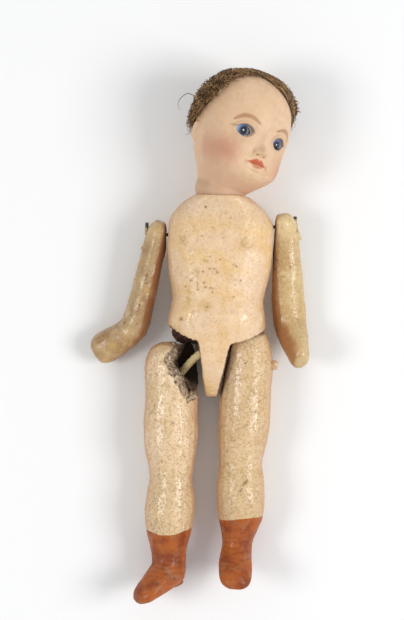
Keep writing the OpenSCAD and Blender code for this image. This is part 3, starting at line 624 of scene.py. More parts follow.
age(torso_skin, TORSO_SPOTS, TORSO_CRACKS, TORSO_STAINS)
for limb in (right_arm_skin, left_arm_skin):
    age(limb, ARM_SPOTS, ARM_CRACKS, ARM_STAINS)
    reach = points(limb.data)[:, 1]
    keep(limb.data, "tinge", smoothstep((reach - reach.max() + 15) / 10))
for limb in (right_leg_skin, left_leg_skin):
    age(limb, LEG_SPOTS)
    keep(limb.data, "tinge", smoothstep((SHIFT[1] - 32 - points(limb.data)[:, 1]) / 22))
at = points(torso_skin.data) - SHIFT
keep(torso_skin.data, "tinge", smoothstep((at[:, 1] - 50) / 14))
# Painted shade: the wall of the right hip socket and the lips of the left hip, where they face down into the
# gaps, are kept as the mask socket and painted nearly black
facing = directions(torso_skin.data)
inwards = facing @ np.array((-0.55, -0.83, 0))
socket = smoothstep((inwards - 0.45) / 0.3) * (at[:, 0] < -5) * (at[:, 1] < 15.5)
LEFT_LIP_SHADE = (((0, -1, 0), (at[:, 0] > 4) & (at[:, 1] < 16)),
             ((1, -0.2, 0), (at[:, 0] > 1) & (at[:, 1] < 7)))   # the way each lip faces, and where it lies
for way, bounds in LEFT_LIP_SHADE:
    socket = np.maximum(socket, smoothstep((facing @ np.array(way) - 0.4) / 0.22) * bounds)
keep(torso_skin.data, "socket", socket)
print("marks on", len(TORSO_SPOTS) + len(ARM_SPOTS) + len(LEG_SPOTS), "places")

# %% [markdown]
# ## The bisque head
# The head was poured in a mould, so it is one smooth form with a small nose, full cheeks and a closed
# mouth. It is lofted from rings, as the solid is, but with far more of them, and soft hills and dents are
# pushed into the front for brow, nose, lips and chin. The crown is cut off on a slope, as on the real head.

# %% The head's form
HEAD_W, FACE_D, SKULL_D, NECK_R = 38.6, 18.8, 19.4, 10.4
EYE_X, EYE_H, EYE_R = 8.4, 23.8, 5.2
LID_LONG, LID_HIGH = 3.55, 2.4
LID_ARC = (LID_LONG ** 2 + LID_HIGH ** 2) / (2 * LID_HIGH)      # radius of each lid's arc
ball_rows = [(y, *[math.sqrt(NECK_R ** 2 - y * y)] * 3) for y in (-9.3, -8, -6, -4, -2)]
neck_rows = [(y, *[NECK_R * k for k in ks]) for y, *ks in ((0.6, .995, .995, .995), (2.2, 1.04, 1.08, 1),
                                                             (3.8, 1.14, 1.3, 1.02))]
face_rows = [(y, w * HEAD_W / 2, f * FACE_D, b * SKULL_D) for y, w, f, b in (
    (6, .69, .97, .56), (8.5, .79, 1.05, .61), (12.5, .9, 1.03, .72), (17.5, .97, 1, .87), (23.5, 1, .985, .98),
    (30, 1, 1, 1), (36, .97, .975, .95), (41, .885, .87, .85), (45, .735, .69, .69), (47.5, .52, .46, .48),
    (48.5, .32, .27, .29), (48.8, .1, .08, .08))]
HEAD_ROWS = np.array(ball_rows + neck_rows + face_rows)
FINE_ROWS = through(HEAD_ROWS, np.linspace(0, len(HEAD_ROWS) - 1, 900))


def ring_at(y):
    return [np.interp(y, FINE_ROWS[:, 0], FINE_ROWS[:, k]) for k in (1, 2, 3)]


print("head", HEAD_W, "mm wide, rows", len(HEAD_ROWS))

# %% Hills and dents of the face
HILLS = [(-1.7, EYE_X, EYE_H, 3.6, 2.7), (.5, EYE_X, EYE_H + 5.6, 4.5, 1.8), (1.7, 0, EYE_H - 1, 1.6, 4),
         (3.5, 0, EYE_H - 5.6, 1.6, 1.9), (1.3, 2.1, EYE_H - 6.6, 1.1, 1.1), (1.1, 0, EYE_H - 9.4, 3, 1.1),
         (1.1, 0, EYE_H - 11.4, 2.6, 1), (1.4, 0, 7.8, 4.2, 2.4), (.9, 11, EYE_H - 9, 4.6, 4.4)]
FINE_HILLS = [(-.5, 1.5, 16.4, .55, .45), (-.3, 0, 15.5, .6, .8), (-.5, 1.4, 12.85, 2.3, .3),
              (-.4, 4.9, 12.5, .7, .7), (.35, 1.25, 14, .9, .5), (.3, 0, 12, 1.8, .5), (-.4, 0, 10.4, 2.4, .7),
              (-.3, 3.2, 17.2, .7, 1.2), (.35, 0, 7.4, 2.4, 1.8)]


def hilly(x, y, hills):
    """Soft hills on both halves of the face: height, place aside and up, spread aside and up."""
    return sum(h * np.exp(-((np.abs(x) - a) / s) ** 2 - ((y - b) / t) ** 2) for h, a, b, s, t in hills)


def lid_gap(x, y):
    """Distance to the edge of the eye's almond, below 0 inside it."""
    drop = LID_ARC - LID_HIGH
    u, v = np.abs(x) - EYE_X, y - EYE_H
    return np.maximum(np.hypot(u, v + drop), np.hypot(u, v - drop)) - LID_ARC


def relief(x, y):
    """How far the face stands out from its plain rings."""
    out = hilly(x, y, HILLS + FINE_HILLS)
    edge = lid_gap(x, y)
    lid = np.exp(-((edge - 0.45) / 0.5) ** 2) * np.where(y > EYE_H, 0.42, 0.2)
    fold = -0.28 * np.exp(-((edge - 1.35) / 0.35) ** 2) * smoothstep((y - EYE_H - 0.5) / 1.5)
    return out + lid + fold


def ear(y, z):
    """The moulded ear: a rolled rim round a shallow bowl."""
    u, v = (z + 3) / 2.8, (y - EYE_H + 6) / 4.2
    r = np.hypot(u, v)
    body = 0.9 * smoothstep((1.1 - r) / 0.5)
    rim = 0.6 * np.exp(-((r - 0.78) / 0.2) ** 2) * smoothstep((1.1 - r) / 0.2) * (u < 0.55)
    bowl = -0.8 * np.exp(-((u - 0.15) / 0.4) ** 2 - ((v - 0.1) / 0.5) ** 2)
    return body + rim + bowl * smoothstep((1 - r) / 0.3)


def jowl(y, turn):
    """Full cheeks and jaw: how much a ring swells between the middle of the face and its sides."""
    swell = 0.1 * np.exp(-((y - 8.5) / 7) ** 2) * smoothstep((y - 1.5) / 3) * np.sin(2 * turn) ** 2
    return np.where(np.sin(turn) > 0, 1 + swell, 1)


TEMPLE_WAY, TEMPLE_FLAT = np.array((0.848, 0, 0.53)), 1.7


def narrow(at):
    """The left temple of this head is a little flatter than the round of its mould."""
    out = at @ TEMPLE_WAY / 17
    flat = TEMPLE_FLAT * smoothstep((at[..., 1] - 25) / 14) * smoothstep((out - 0.4) / 0.6)
    return at - flat[..., None] * TEMPLE_WAY


eye_front = float(ring_at(EYE_H)[1]) * math.sqrt(1 - (2 * EYE_X / HEAD_W) ** 2)
EYE_Z = eye_front + hilly(EYE_X, EYE_H, HILLS) - EYE_R - 0.3
print("eye centre stands", round(EYE_Z, 2), "mm before the neck")

# %% Loft the head
NECK_ROUNDS = 400                                       # rounds of smoothing where the neck meets the jaw
NECK_AT = np.array((-0.7, 72, 20.6))
HEAD_POSE = (Matrix.Translation((NECK_AT + SHIFT) * MM)
             @ Matrix.Rotation(math.radians(-18), 4, "Z") @ Matrix.Rotation(math.radians(32), 4, "Y"))
rows_at = np.concatenate([np.linspace(0, 7, 26, endpoint=False), np.linspace(7, 14.2, 124, endpoint=False),
                          np.linspace(14.2, len(HEAD_ROWS) - 1, 40)])
rings = through(HEAD_ROWS, rows_at)
turn = np.concatenate([np.linspace(0, math.pi, 200, endpoint=False),
                       np.linspace(math.pi, 2 * math.pi, 84, endpoint=False)])
y = np.repeat(rings[:, :1], len(turn), axis=1)
full = jowl(y, turn)
x = rings[:, 1:2] * full * np.cos(turn)
z = np.where(np.sin(turn) > 0, rings[:, 2:3], rings[:, 3:4]) * full * np.sin(turn)
z = z + relief(x, y) * smoothstep(2 * np.sin(turn))
x = x + np.sign(x) * ear(y, z) * smoothstep((np.abs(np.cos(turn)) - 0.8) / 0.1)
grid = narrow(np.stack([x, y, z], axis=-1))
soft = (smoothstep((y - 1) / 3) * (1 - smoothstep((y - 6) / 4)))[1:-1, :, None]
for _ in range(NECK_ROUNDS):
    grid[1:-1] += soft * (0.25 * (grid[:-2] + grid[2:]) - 0.5 * grid[1:-1])
loft = [face[::-1] for face in quads(len(rings), len(turn), ring_columns=True)]
bisque_skin = build("bisque_skin", grid.reshape(-1, 3), loft)
print("head loft", len(loft), "faces")

# %% Cut the crown, give it a wall and open the eyes
CROWN_SLOPE = math.radians(48)
CROWN_FRONT = np.array((0, 48, 3.0))
CROWN_BACK = np.array((0, -math.sin(CROWN_SLOPE), -math.cos(CROWN_SLOPE)))
CROWN_OUT = np.array((0, math.cos(CROWN_SLOPE), -math.sin(CROWN_SLOPE)))
BISQUE_T = 1.7
LID_STEPS = 48
cut = bmesh.new()
cut.from_mesh(bisque_skin.data)
bmesh.ops.bisect_plane(cut, geom=cut.verts[:] + cut.edges[:] + cut.faces[:], dist=1e-7,
                       plane_co=CROWN_FRONT * MM, plane_no=CROWN_OUT, clear_outer=True)
cut.to_mesh(bisque_skin.data)
cut.free()
wall = bisque_skin.modifiers.new("wall", "SOLIDIFY")
wall.thickness = BISQUE_T * MM
wall.offset = -1
settle(bisque_skin)

almond = []
for k in range(LID_STEPS):
    angle = k * 2 * math.pi / LID_STEPS
    u = LID_LONG * math.cos(angle)
    v = math.sqrt(LID_ARC ** 2 - u * u) - LID_ARC + LID_HIGH
    almond.append((u, math.copysign(v, math.sin(angle + 1e-9))))
cutter = bmesh.new()
for side in (-1, 1):
    low = [cutter.verts.new(((side * EYE_X + u) * MM, (EYE_H + v) * MM, (EYE_Z - 1) * MM)) for u, v in almond]
    raised = bmesh.ops.extrude_face_region(cutter, geom=[cutter.faces.new(low)])["geom"]
    corners = [g for g in raised if isinstance(g, bmesh.types.BMVert)]
    bmesh.ops.translate(cutter, verts=corners, vec=(0, 0, 14 * MM))
bmesh.ops.remove_doubles(cutter, verts=cutter.verts, dist=1e-7)
bmesh.ops.recalc_face_normals(cutter, faces=cutter.faces)
lid_cutter = link_in(bpy.data.objects.new("lid_cutter", poured(cutter, "lid_cutter")))
opened = bisque_skin.modifiers.new("opened", "BOOLEAN")
opened.operation = "DIFFERENCE"
opened.solver = "MANIFOLD"
opened.object = lid_cutter
settle(bisque_skin)
bpy.data.objects.remove(lid_cutter)
bisque_skin.data.set_sharp_from_angle(angle=math.radians(50))
print("bisque", len(bisque_skin.data.polygons), "faces")

# %% [markdown]
# ## China paint on the face
# Brows, lid lines, lips and blush were brushed on and fired. Each becomes a mask worked out from the place
# of a point on the face, so a stroke keeps a soft brush edge, and the material mixes the colours in.

# %% Face paint
at = points(bisque_skin.data)
fx, fy, fz = np.abs(at[:, 0]), at[:, 1], at[:, 2]
front = smoothstep((fz - 2) / 3)
brow = stroke(fx, fy, [(4.4, 28.2), (6.4, 29.2), (8.8, 29.7), (10.8, 29.3), (12.3, 28.1), (13.4, 26.7)], 1.0)
edge = lid_gap(fx, fy)
lash = np.where(fy > EYE_H + 0.3, 1 - smoothstep((edge - 0.1) / 0.45), 0.15 * (1 - smoothstep(edge / 0.3)))
wing = [(EYE_X + 2.6, EYE_H + 1.1), (EYE_X + 4.2, EYE_H + 0.5), (EYE_X + 5.6, EYE_H + 0.3)]
lash = np.maximum(lash, 0.6 * stroke(fx, fy, wing, 0.5))
lid_shade = np.exp(-((edge - 0.9) / 0.8) ** 2) * np.where(fy > EYE_H, 1, 0.5)
upper = 12.5 + 2.6 * np.clip(1 - (fx / 4.6) ** 1.5, 0, 1) - 0.65 * np.exp(-(fx / 0.7) ** 2)
lower = 12.6 - 1.4 * np.clip(1 - (fx / 3.3) ** 2, 0, 1)
top_lip = smoothstep((upper - fy) / 0.45 + 0.5) * smoothstep((fy - 12.6) / 0.3 + 0.5)
top_lip *= smoothstep((4.9 - fx) / 0.5)
low_lip = smoothstep((fy - lower) / 0.5 + 0.5) * smoothstep((12.7 - fy) / 0.3 + 0.5) * (fx < 3.3)
seam = np.exp(-((fy - 12.75 - 0.12 * np.cos(fx * 1.6)) / 0.18) ** 2) * smoothstep((4.8 - fx) / 0.6)
corner = hilly(fx, fy, [(0.4, 5, 12.4, 0.8, 0.7)])
nostril = np.maximum(hilly(fx, fy, [(1, 1.6, 16.4, 0.55, 0.45)]),
                     hilly(fx, fy, [(0.45, 3.1, 17.2, 0.5, 1.1)]))
blush = hilly(fx, fy, [(1, 14, 13.4, 6, 6)])
jaw = 0.9 * np.exp(-((fy - 3.4) / 3) ** 2) + hilly(fx, fy, [(0.6, 17.5, 11, 2.6, 6)])
for name, values in (("brow", brow), ("lash", lash), ("lid_shade", lid_shade), ("top_lip", top_lip),
                     ("low_lip", low_lip), ("lip_seam", np.maximum(seam, corner)), ("nostril", nostril),
                     ("blush", blush)):
    keep(bisque_skin.data, name, values * front)
keep(bisque_skin.data, "jaw", jaw * smoothstep((fz + 6) / 8))
keep(bisque_skin.data, "crown_dirt", smoothstep(((at - CROWN_FRONT) @ CROWN_OUT + 5) / 5))
keep(bisque_skin.data, "neck_dirt", 1 - smoothstep((at[:, 1] + 0.4) / 2))
keep(bisque_skin.data, "ridge", bend(bisque_skin.data, 5))
bisque_skin.data.transform(HEAD_POSE)
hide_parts("bisque_head")
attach(bisque_skin, "head")
print("face paint: brow", int((brow > .5).sum()), "lips", int((top_lip > .5).sum()), "points")

# %% [markdown]
# ## Glass eyes
# Set eyes are blown glass balls: milky white, with a ring of blue threads and a dark pupil under a clear
# skin. Each ball is cut in rings round its line of sight, so the iris gets most of the points and a low
# clear dome.

# %% Blow the eyes
IRIS, PUPIL = 2.5, 1.4
LOOK = {-1: (-0.1, -0.15), 1: (0.4, -0.5)}     # where each pupil lies, seen from the ball's own front
EYE_SIDES = 48


def glass_eye(name, node, side):
    """One ball, cut in rings round its line of sight; the iris has most of them."""
    places = []
    for a in np.radians(np.concatenate([np.linspace(1.2, 30, 22), np.linspace(34, 176, 26)])):
        r, up = EYE_R * math.sin(a), EYE_R * math.cos(a)
        up += 0.5 * float(smoothstep((IRIS + 0.4 - r) / 2.6)) if a < 1 else 0
        places += [(r * math.cos(t), r * math.sin(t), up)
                   for t in np.linspace(0, 2 * math.pi, EYE_SIDES, endpoint=False)]
    count = len(places)
    faces = quads(count // EYE_SIDES, EYE_SIDES, ring_columns=True)
    faces += [tuple(range(EYE_SIDES)), tuple(range(count - EYE_SIDES, count))]
    ball = build(name, places, faces, outwards=True)
    own = points(ball.data).ravel().astype(np.float32)
    ball.data.attributes.new("eye_place", "FLOAT_VECTOR", "POINT").data.foreach_set("vector", own)
    aside, above = (math.asin(k / EYE_R) for k in LOOK[side])
    gaze = Matrix.Rotation(aside, 4, "Y") @ Matrix.Rotation(-above, 4, "X")
    ball.data.transform(HEAD_POSE @ Matrix.Translation(Vector((side * EYE_X, EYE_H, EYE_Z)) * MM) @ gaze)
    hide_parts(node)
    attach(ball, "head")
    return ball


right_ball = glass_eye("right_glass_eye", "right_eye", -1)
left_ball = glass_eye("left_glass_eye", "left_eye", 1)
print("eyes", EYE_R * 2, "mm, iris", IRIS * 2, "mm")

# %% [markdown]
# ## What is left of the wig
# A matted band of hair is still glued round the rim of the crown, with a frizzy clump at each temple and
# one stray curl. Each hair is a thin tapering tube with a curl wound into it. Under the clumps lies a rough
# felt, so that no bare bisque shows between the hairs; its low, nearly black tones are partly its own dark
# brown and partly painted shade between the hairs.

# %% Find the crown's rim
CROWN_MID = CROWN_FRONT + 18.5 * CROWN_BACK
BAND_T = 1.5


def rim(angle, lift, off):
    """A point on the skull: angle round the crown (0 in front), lift along its axis, off outwards."""
    start = CROWN_MID + CROWN_OUT * lift
    way = np.array((math.sin(angle), 0, 0)) - CROWN_BACK * math.cos(angle)
    low, high = 0.0, 40.0
    for _ in range(22):
        t = (low + high) / 2
        p = start + way * t
        w, f, b = ring_at(p[1])
        within = p[1] < 48.8 and (p[0] / w) ** 2 + (p[2] / (f if p[2] > 0 else b)) ** 2 < 1
        low, high = (t, high) if within else (low, t)
    return start + way * (low + off)


print("rim in front", rim(0, 0, 0).round(1))

# %% Hair tools
HAIR_SEED = 7
dice = random.Random(HAIR_SEED)
TO_HEAD = np.array(HEAD_POSE.inverted())


def in_head(places):
    """From the doll's own frame to the head's, in millimetres."""
    return (np.array(places) + SHIFT) @ TO_HEAD[:3, :3].T + TO_HEAD[:3, 3] / MM


def felt(node):
    """The solid of a clump, cut finer and roughened inwards: the matted felt under the hairs."""
    shape = bmesh.new()
    shape.from_mesh(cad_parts[node].data)
    bmesh.ops.remove_doubles(shape, verts=shape.verts, dist=1e-6)
    bmesh.ops.subdivide_edges(shape, edges=shape.edges[:], cuts=2, use_grid_fill=True)
    shape.normal_update()
    places = [np.array(v.co + v.normal * 0.7 * MM * (noise.noise(v.co * 600) - 1.3)) / MM - SHIFT
              for v in shape.verts]
    faces = [tuple(v.index for v in f.verts) for f in shape.faces]
    shape.free()
    return in_head(places), faces


def hairs(name, paths, thick, node, under, faces):
    """One mesh of thin three-sided tubes that taper to their tips, over the felt that they lie on."""
    places = [under]
    # The felt gets low tones, nearly black: its own dark brown, and painted shade in the gaps between the hairs
    tone = list(0.5 * ripple(under, 0.7) + 0.15)
    base = len(tone)
    for path in paths:
        heading = np.gradient(path, axis=0)
        side = np.cross(heading, (0.31, 0.52, 0.8))
        side /= np.linalg.norm(side, axis=1)[:, None] + 1e-9
        over = np.cross(heading, side)
        over /= np.linalg.norm(over, axis=1)[:, None] + 1e-9
        taper = (thick * (1 - 0.7 * np.linspace(0, 1, len(path)) ** 2))[:, None]
        ring = [path + taper * (math.cos(t) * side + math.sin(t) * over) for t in (0, 2.094, 4.189)]
        places.append(np.stack(ring, axis=1).reshape(-1, 3))
        tone += [dice.random()] * (3 * len(path))
        faces += [tuple(base + k for k in face) for face in quads(len(path), 3, ring_columns=True)]
        last = base + 3 * (len(path) - 1)
        faces += [(base + 2, base + 1, base), (last, last + 1, last + 2)]
        base = last + 3
    piece = build(name, narrow(np.concatenate(places)), faces)
    keep(piece.data, "tone", tone)
    piece.data.transform(HEAD_POSE)
    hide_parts(node)
    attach(piece, "head")
    print(name, len(paths), "hairs")
    return piece


def curled(path, size, pitch, steps):
    """The path drawn finer, with a curl of this size wound round it."""
    fine = through(np.array(path), np.linspace(0, len(path) - 1, steps))
    run = np.concatenate([[0], np.cumsum(np.linalg.norm(np.diff(fine, axis=0), axis=1))])
    wind = run / pitch * 2 * math.pi + dice.uniform(0, 2 * math.pi)
    lean = dice.uniform(0.4, 1)
    across = lean * np.array((0.7, 0.5, 0.5))
    return fine + size * (np.cos(wind)[:, None] * CROWN_OUT + np.sin(wind)[:, None] * across)


def laid(angle, lift, off, run, drop, wobble, count=5):
    """A hair that starts on the rim and runs round it by an angle while it drops."""
    return [rim(angle + run * s, lift - drop * s + dice.gauss(0, wobble),
                max(0.15, off + dice.gauss(0, wobble * 0.5))) for s in np.linspace(0, 1, count)]


print("hair tools ready")

# %% The band round the crown
BAND_EDGE = ((-180, -120, -83, -71, -58, -46, -34, -19, -7, 1, 12, 22, 32, 45, 70, 100, 140, 180),
             (2.4, 4, 8, 5.8, 3.6, 3.9, 5.1, 5.3, 7.8, 10.9, 12.4, 13.1, 13.7, 13, 10, 6, 3, 2.4))


def band_low(angle):
    """How far the band reaches down from the rim: deepest over the left temple."""
    return float(np.interp(math.degrees(angle), *BAND_EDGE))


BAND_STEPS, BAND_HAIRS = 150, 2000
band_felt = []
for k in range(BAND_STEPS):
    angle = 2 * math.pi * k / BAND_STEPS - math.pi
    low = band_low(angle)
    section = ((-low, 0.1), (-low + 0.4, 0.75), (-low * 0.6, 1.0), (-low * 0.25, 1.1),
               (0.1, 0.9), (0.35, 0.4), (0.2, 0))       # lift and distance, once round the felt
    for lift, off in section:
        p = rim(angle, lift, off)
        band_felt.append(p + (p - CROWN_MID) * 0.014 * noise.noise(Vector(p) * 0.8))
band_faces = quads(BAND_STEPS, len(section), True, True)
band_paths = []
for _ in range(BAND_HAIRS):
    angle = math.radians(dice.uniform(-180, 180))
    lift = -band_low(angle) * dice.uniform(0.02, 1.02)
    run = math.radians(dice.choice((-1, 1)) * dice.uniform(4, 12))
    drop = band_low(angle + run) - band_low(angle) + dice.gauss(0, 1)
    path = laid(angle, lift, 0.9 + 0.4 * dice.random(), run, drop, 0.14, 4)
    band_paths.append(curled(path, 0.2, dice.uniform(1.2, 2.4), 14))
wig_band_hair = hairs("wig_band_hair", band_paths, 0.15, "wig_band", np.array(band_felt), band_faces)

# %% The clumps and the stray curl
def clump(start, end, deep, count):
    """Frizzy hairs between two angles of the rim; they hang deepest and stand out most in the middle."""
    paths = []
    for _ in range(count):
        share = dice.random()
        angle = math.radians(start + (end - start) * share)
        full = math.sin(math.pi * share)
        top = dice.uniform(-6, 0)
        low = -(4 + (deep - 3) * full) * dice.uniform(0.55, 1.12)
        off = 0.5 + (BAND_T - 0.5 + 2.3 * full) * dice.random() ** 0.5
        path = laid(angle, top, off, math.radians(dice.gauss(0, 12)), max(1.5, top - low), 0.4, 5)
        paths.append(curled(path, dice.uniform(0.35, 1.0), dice.uniform(2.2, 4.2), 26))
    return paths


CURL = [(-10.4, 107.5, 17.5), (-12.6, 109, 18.5), (-14.4, 109.7, 19.5), (-16, 109.8, 20), (-18, 108.3, 20.5),
        (-19.5, 105.8, 20.5), (-18.7, 103, 20)]
curl = through(in_head(CURL), np.linspace(0, len(CURL) - 1, 40))
right_tuft_hair = hairs("right_tuft_hair", clump(-130, -44, 11, 760) + [curl], 0.19, "wig_tuft_right",
                        *felt("wig_tuft_right"))
left_tuft_hair = hairs("left_tuft_hair", clump(42, 94, 6.6, 300), 0.18, "wig_tuft_left",
                       *felt("wig_tuft_left"))

# %% [markdown]
# ## The hip cord
# A round elastic strings the legs. It shows in the broken hip, dirty and stretched, where it runs from the
# torso to the dowel in the thigh. It is a tube along the solid's route, with the twist of its cotton cover
# raised on it.

# %% Lay the cord
HIP_SLOPE = math.radians(10.5)
HIP_Z = 14.8
hip_left = np.array((5, 4.6, HIP_Z))
hip_way = np.array((math.cos(HIP_SLOPE), -math.sin(HIP_SLOPE), 0))
CORD = np.array([hip_left + hip_way * 16.7, hip_left + hip_way * 9, hip_left + hip_way * 3, (2, 5.1, HIP_Z),
                 (-2, 5.1, HIP_Z), (-5, 4.7, HIP_Z - .2), (-7.2, 3.7, HIP_Z - .8), (-10.4, .4, HIP_Z - 2.4),
                 (-12.8, -2.6, HIP_Z - 4.4), (-14.2, -4.6, HIP_Z - 6.2), (-14.8, -5.6, HIP_Z - 7)])
CORD_R, COVER_TWIST = 1.6, 2.6
DOWEL_FROM, DOWEL_TO = np.array((-28, -5.6, 8)), np.array((-8.6, -5.6, 4.2))
KNOT_AT = DOWEL_FROM + (DOWEL_TO - DOWEL_FROM) * 0.68
KNOT_RING, KNOT_R = 2.2, 0.7


def tube(path, radius, raised, around, strands, closed=False):
    """Points and faces of a round cord along a path; the strands of its cover wind round it."""
    heading = np.roll(path, -1, axis=0) - np.roll(path, 1, axis=0) if closed else np.gradient(path, axis=0)
    heading /= np.linalg.norm(heading, axis=1)[:, None]
    run = np.concatenate([[0], np.cumsum(np.linalg.norm(np.diff(path, axis=0), axis=1))])
    places = []
    for p, d, s in zip(path, heading, run):
        side = np.cross(d, (0, 0, 1.0)) if abs(d[2]) < 0.9 else np.cross(d, (1.0, 0, 0))
        side /= np.linalg.norm(side)
        over = np.cross(side, d)
        for t in np.linspace(0, 2 * math.pi, around, endpoint=False):
            r = radius - raised * (1 - abs(math.cos((t * strands + COVER_TWIST * s) / 2)))
            places.append(p + r * (math.cos(t) * side + math.sin(t) * over))
    faces = quads(len(path), around, closed, True)
    if not closed:
        faces += [tuple(range(around))[::-1], tuple(range(len(places) - around, len(places)))]
    return places, faces


route = through(CORD, np.linspace(0, len(CORD) - 1, 150))
places, faces = tube(route, CORD_R, raised=0.22, around=28, strands=4)
along = (DOWEL_TO - DOWEL_FROM) / np.linalg.norm(DOWEL_TO - DOWEL_FROM)
across, upward = np.array((0, 1.0, 0)), np.cross(along, (0, 1.0, 0))
ring = np.array([KNOT_AT + KNOT_RING * (math.cos(t) * across + math.sin(t) * upward)
                 for t in np.linspace(0, 2 * math.pi, 60, endpoint=False)])
knot, knot_faces = tube(ring, KNOT_R, raised=0.12, around=16, strands=3, closed=True)
faces += [tuple(k + len(places) for k in face) for face in knot_faces]
hip_cord = build("hip_cord", np.array(places + knot) + SHIFT, faces, outwards=True)
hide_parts("hip_elastic")
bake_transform(hip_cord)
print("cord", len(faces), "faces")

# %% [markdown]
# ## Paint: flesh colour under old varnish
# Torso, arms and legs share one recipe: a flesh ground that has yellowed in patches, a fine grain, varnish
# that has crazed, painted shade that browns the sides, specks, stains, dirt in the creases, grime and painted
# shade where limbs meet, and painted shade in the hip's gaps. Only the amounts differ.

# %% Finishing tools
def coat(name):
    """A new material, with its tree, its surface shader and the piece's own coordinates in millimetres."""
    made = bpy.data.materials.new(name)
    made.use_nodes = True
    tree = made.node_tree
    own = add(tree, "TexCoord").outputs["Object"]
    mm = add(tree, "VectorMath", {0: own, 1: (1000, 1000, 1000)}, operation="MULTIPLY").outputs[0]
    return made, tree, tree.nodes["Principled BSDF"], mm


def finish(tree, shader, colour, rough, height=None, strength=0.6, distance=0.2):
    """Wires colour, roughness and, where there is one, a relief to the surface shader."""
    plug(tree, shader.inputs["Base Color"], colour)
    plug(tree, shader.inputs["Roughness"], rough)
    if height is not None:
        relief = add(tree, "Bump", {"Height": height, "Strength": strength, "Distance": distance * MM})
        plug(tree, shader.inputs["Normal"], relief.outputs["Normal"])


def wear(piece, coated):
    piece.data.materials.clear()
    piece.data.materials.append(coated)


print("finishing tools ready")

# %% Ground, boot paint and bare carton
def ground_coat(tree, mm, ground, warm, pale, tinge, grainy):
    """The flesh ground: warm and pale patches, and the grain of what lies under the paint."""
    warmth = place(tree, "stains", vector=mm, scale=0.07, low=0.38, high=0.64)["Mask"]
    bleached = place(tree, "stains", vector=mm, scale=0.2, low=0.46, high=0.7)["Mask"]
    grains = place(tree, "grain", vector=mm, scale=1.5)
    dark_grain = fade(tree, grains["Tone"], 0.52, 0.72)
    pale_grain = fade(tree, grains["Tone"], 0.2, 0.42, 1.0, 0.0)
    return layered(tree, ground, (
        (warmth, 1.0, warm), (bleached, 0.6, pale), (mask(tree, "tinge"), 0.55, tinge),
        (dark_grain, grainy, (.4, .26, .115)), (pale_grain, grainy, pale))), grains


def painted_boot(tree, mm, colour, specks, ridge, crease):
    """Brown boot paint over the flesh, from the boot's top edge down, and the wrinkles of its ankle."""
    below = mask(tree, "boot")
    uneven = times(tree, sums(tree, "SUBTRACT", cloud(tree, mm, 0.5, 3), 0.5), 0.7)
    streak = place(tree, "stains", vector=mm, scale=0.16, low=0.4, high=0.68)["Mask"]
    faded = place(tree, "stains", vector=mm, scale=0.3, low=0.5, high=0.72)["Mask"]
    folds = {"Vector": mm, "Scale": 0.16, "Distortion": 9, "Detail": 3, "Detail Scale": 0.6}
    waves = add(tree, "TexWave", folds, bands_direction="Y").outputs["Fac"]
    ankle = times(tree, fade(tree, below, 5, 9), fade(tree, below, 17, 22, 1.0, 0.0))
    wrinkles = times(tree, fade(tree, waves, 0.0, 0.4, 1.0, 0.0), ankle)
    leather = layered(tree, (.42, .098, .008), (
        (streak, 1.0, (.25, .044, .004)), (faded, 0.65, (.34, .175, .085)), (wrinkles, 0.22, (.14, .04, .01)),
        (specks, 0.6, (.1, .04, .015)), (fade(tree, ridge, 0.035, 0.075), 0.5, (.2, .055, .012)),
        (crease, 0.6, (.12, .035, .01))))
    return mix(tree, fade(tree, sums(tree, "ADD", below, uneven), -0.15, 0.15), colour, leather), wrinkles


def bare_carton(tree, mm):
    """Torn brown carton of the broken shell, in flakes with dark cracks, and painted shade: nearly black deep
    inside.
    """
    fibre = cloud(tree, mm, 0.75, 6, 0.72)
    reddish = place(tree, "stains", vector=mm, scale=0.3, low=0.45, high=0.6)["Mask"]
    flakes = place(tree, "crazing", vector=mm, scale=0.75, width=0.14, cover=0.8)["Lines"]
    return layered(tree, (.1, .062, .035), (
        (fade(tree, fibre, 0.36, 0.6), 1.0, (.74, .58, .4)), (reddish, 0.5, (.34, .17, .1)),
        (flakes, 0.75, (.04, .024, .013)), (mask(tree, "deep"), 1.0, (.03, .019, .01)))), fibre


print("grounds ready")

# %% Flesh recipe
DIRT, RUST, BLOT = (.1, .055, .03), (.55, .34, .12), (.4, .25, .1)
CRAZED, CREASED = (.3, .16, .07), (.22, .12, .05)
GRIMY_SHADE, SOCKET_SHADE = (.1, .05, .028), (.1, .045, .03)


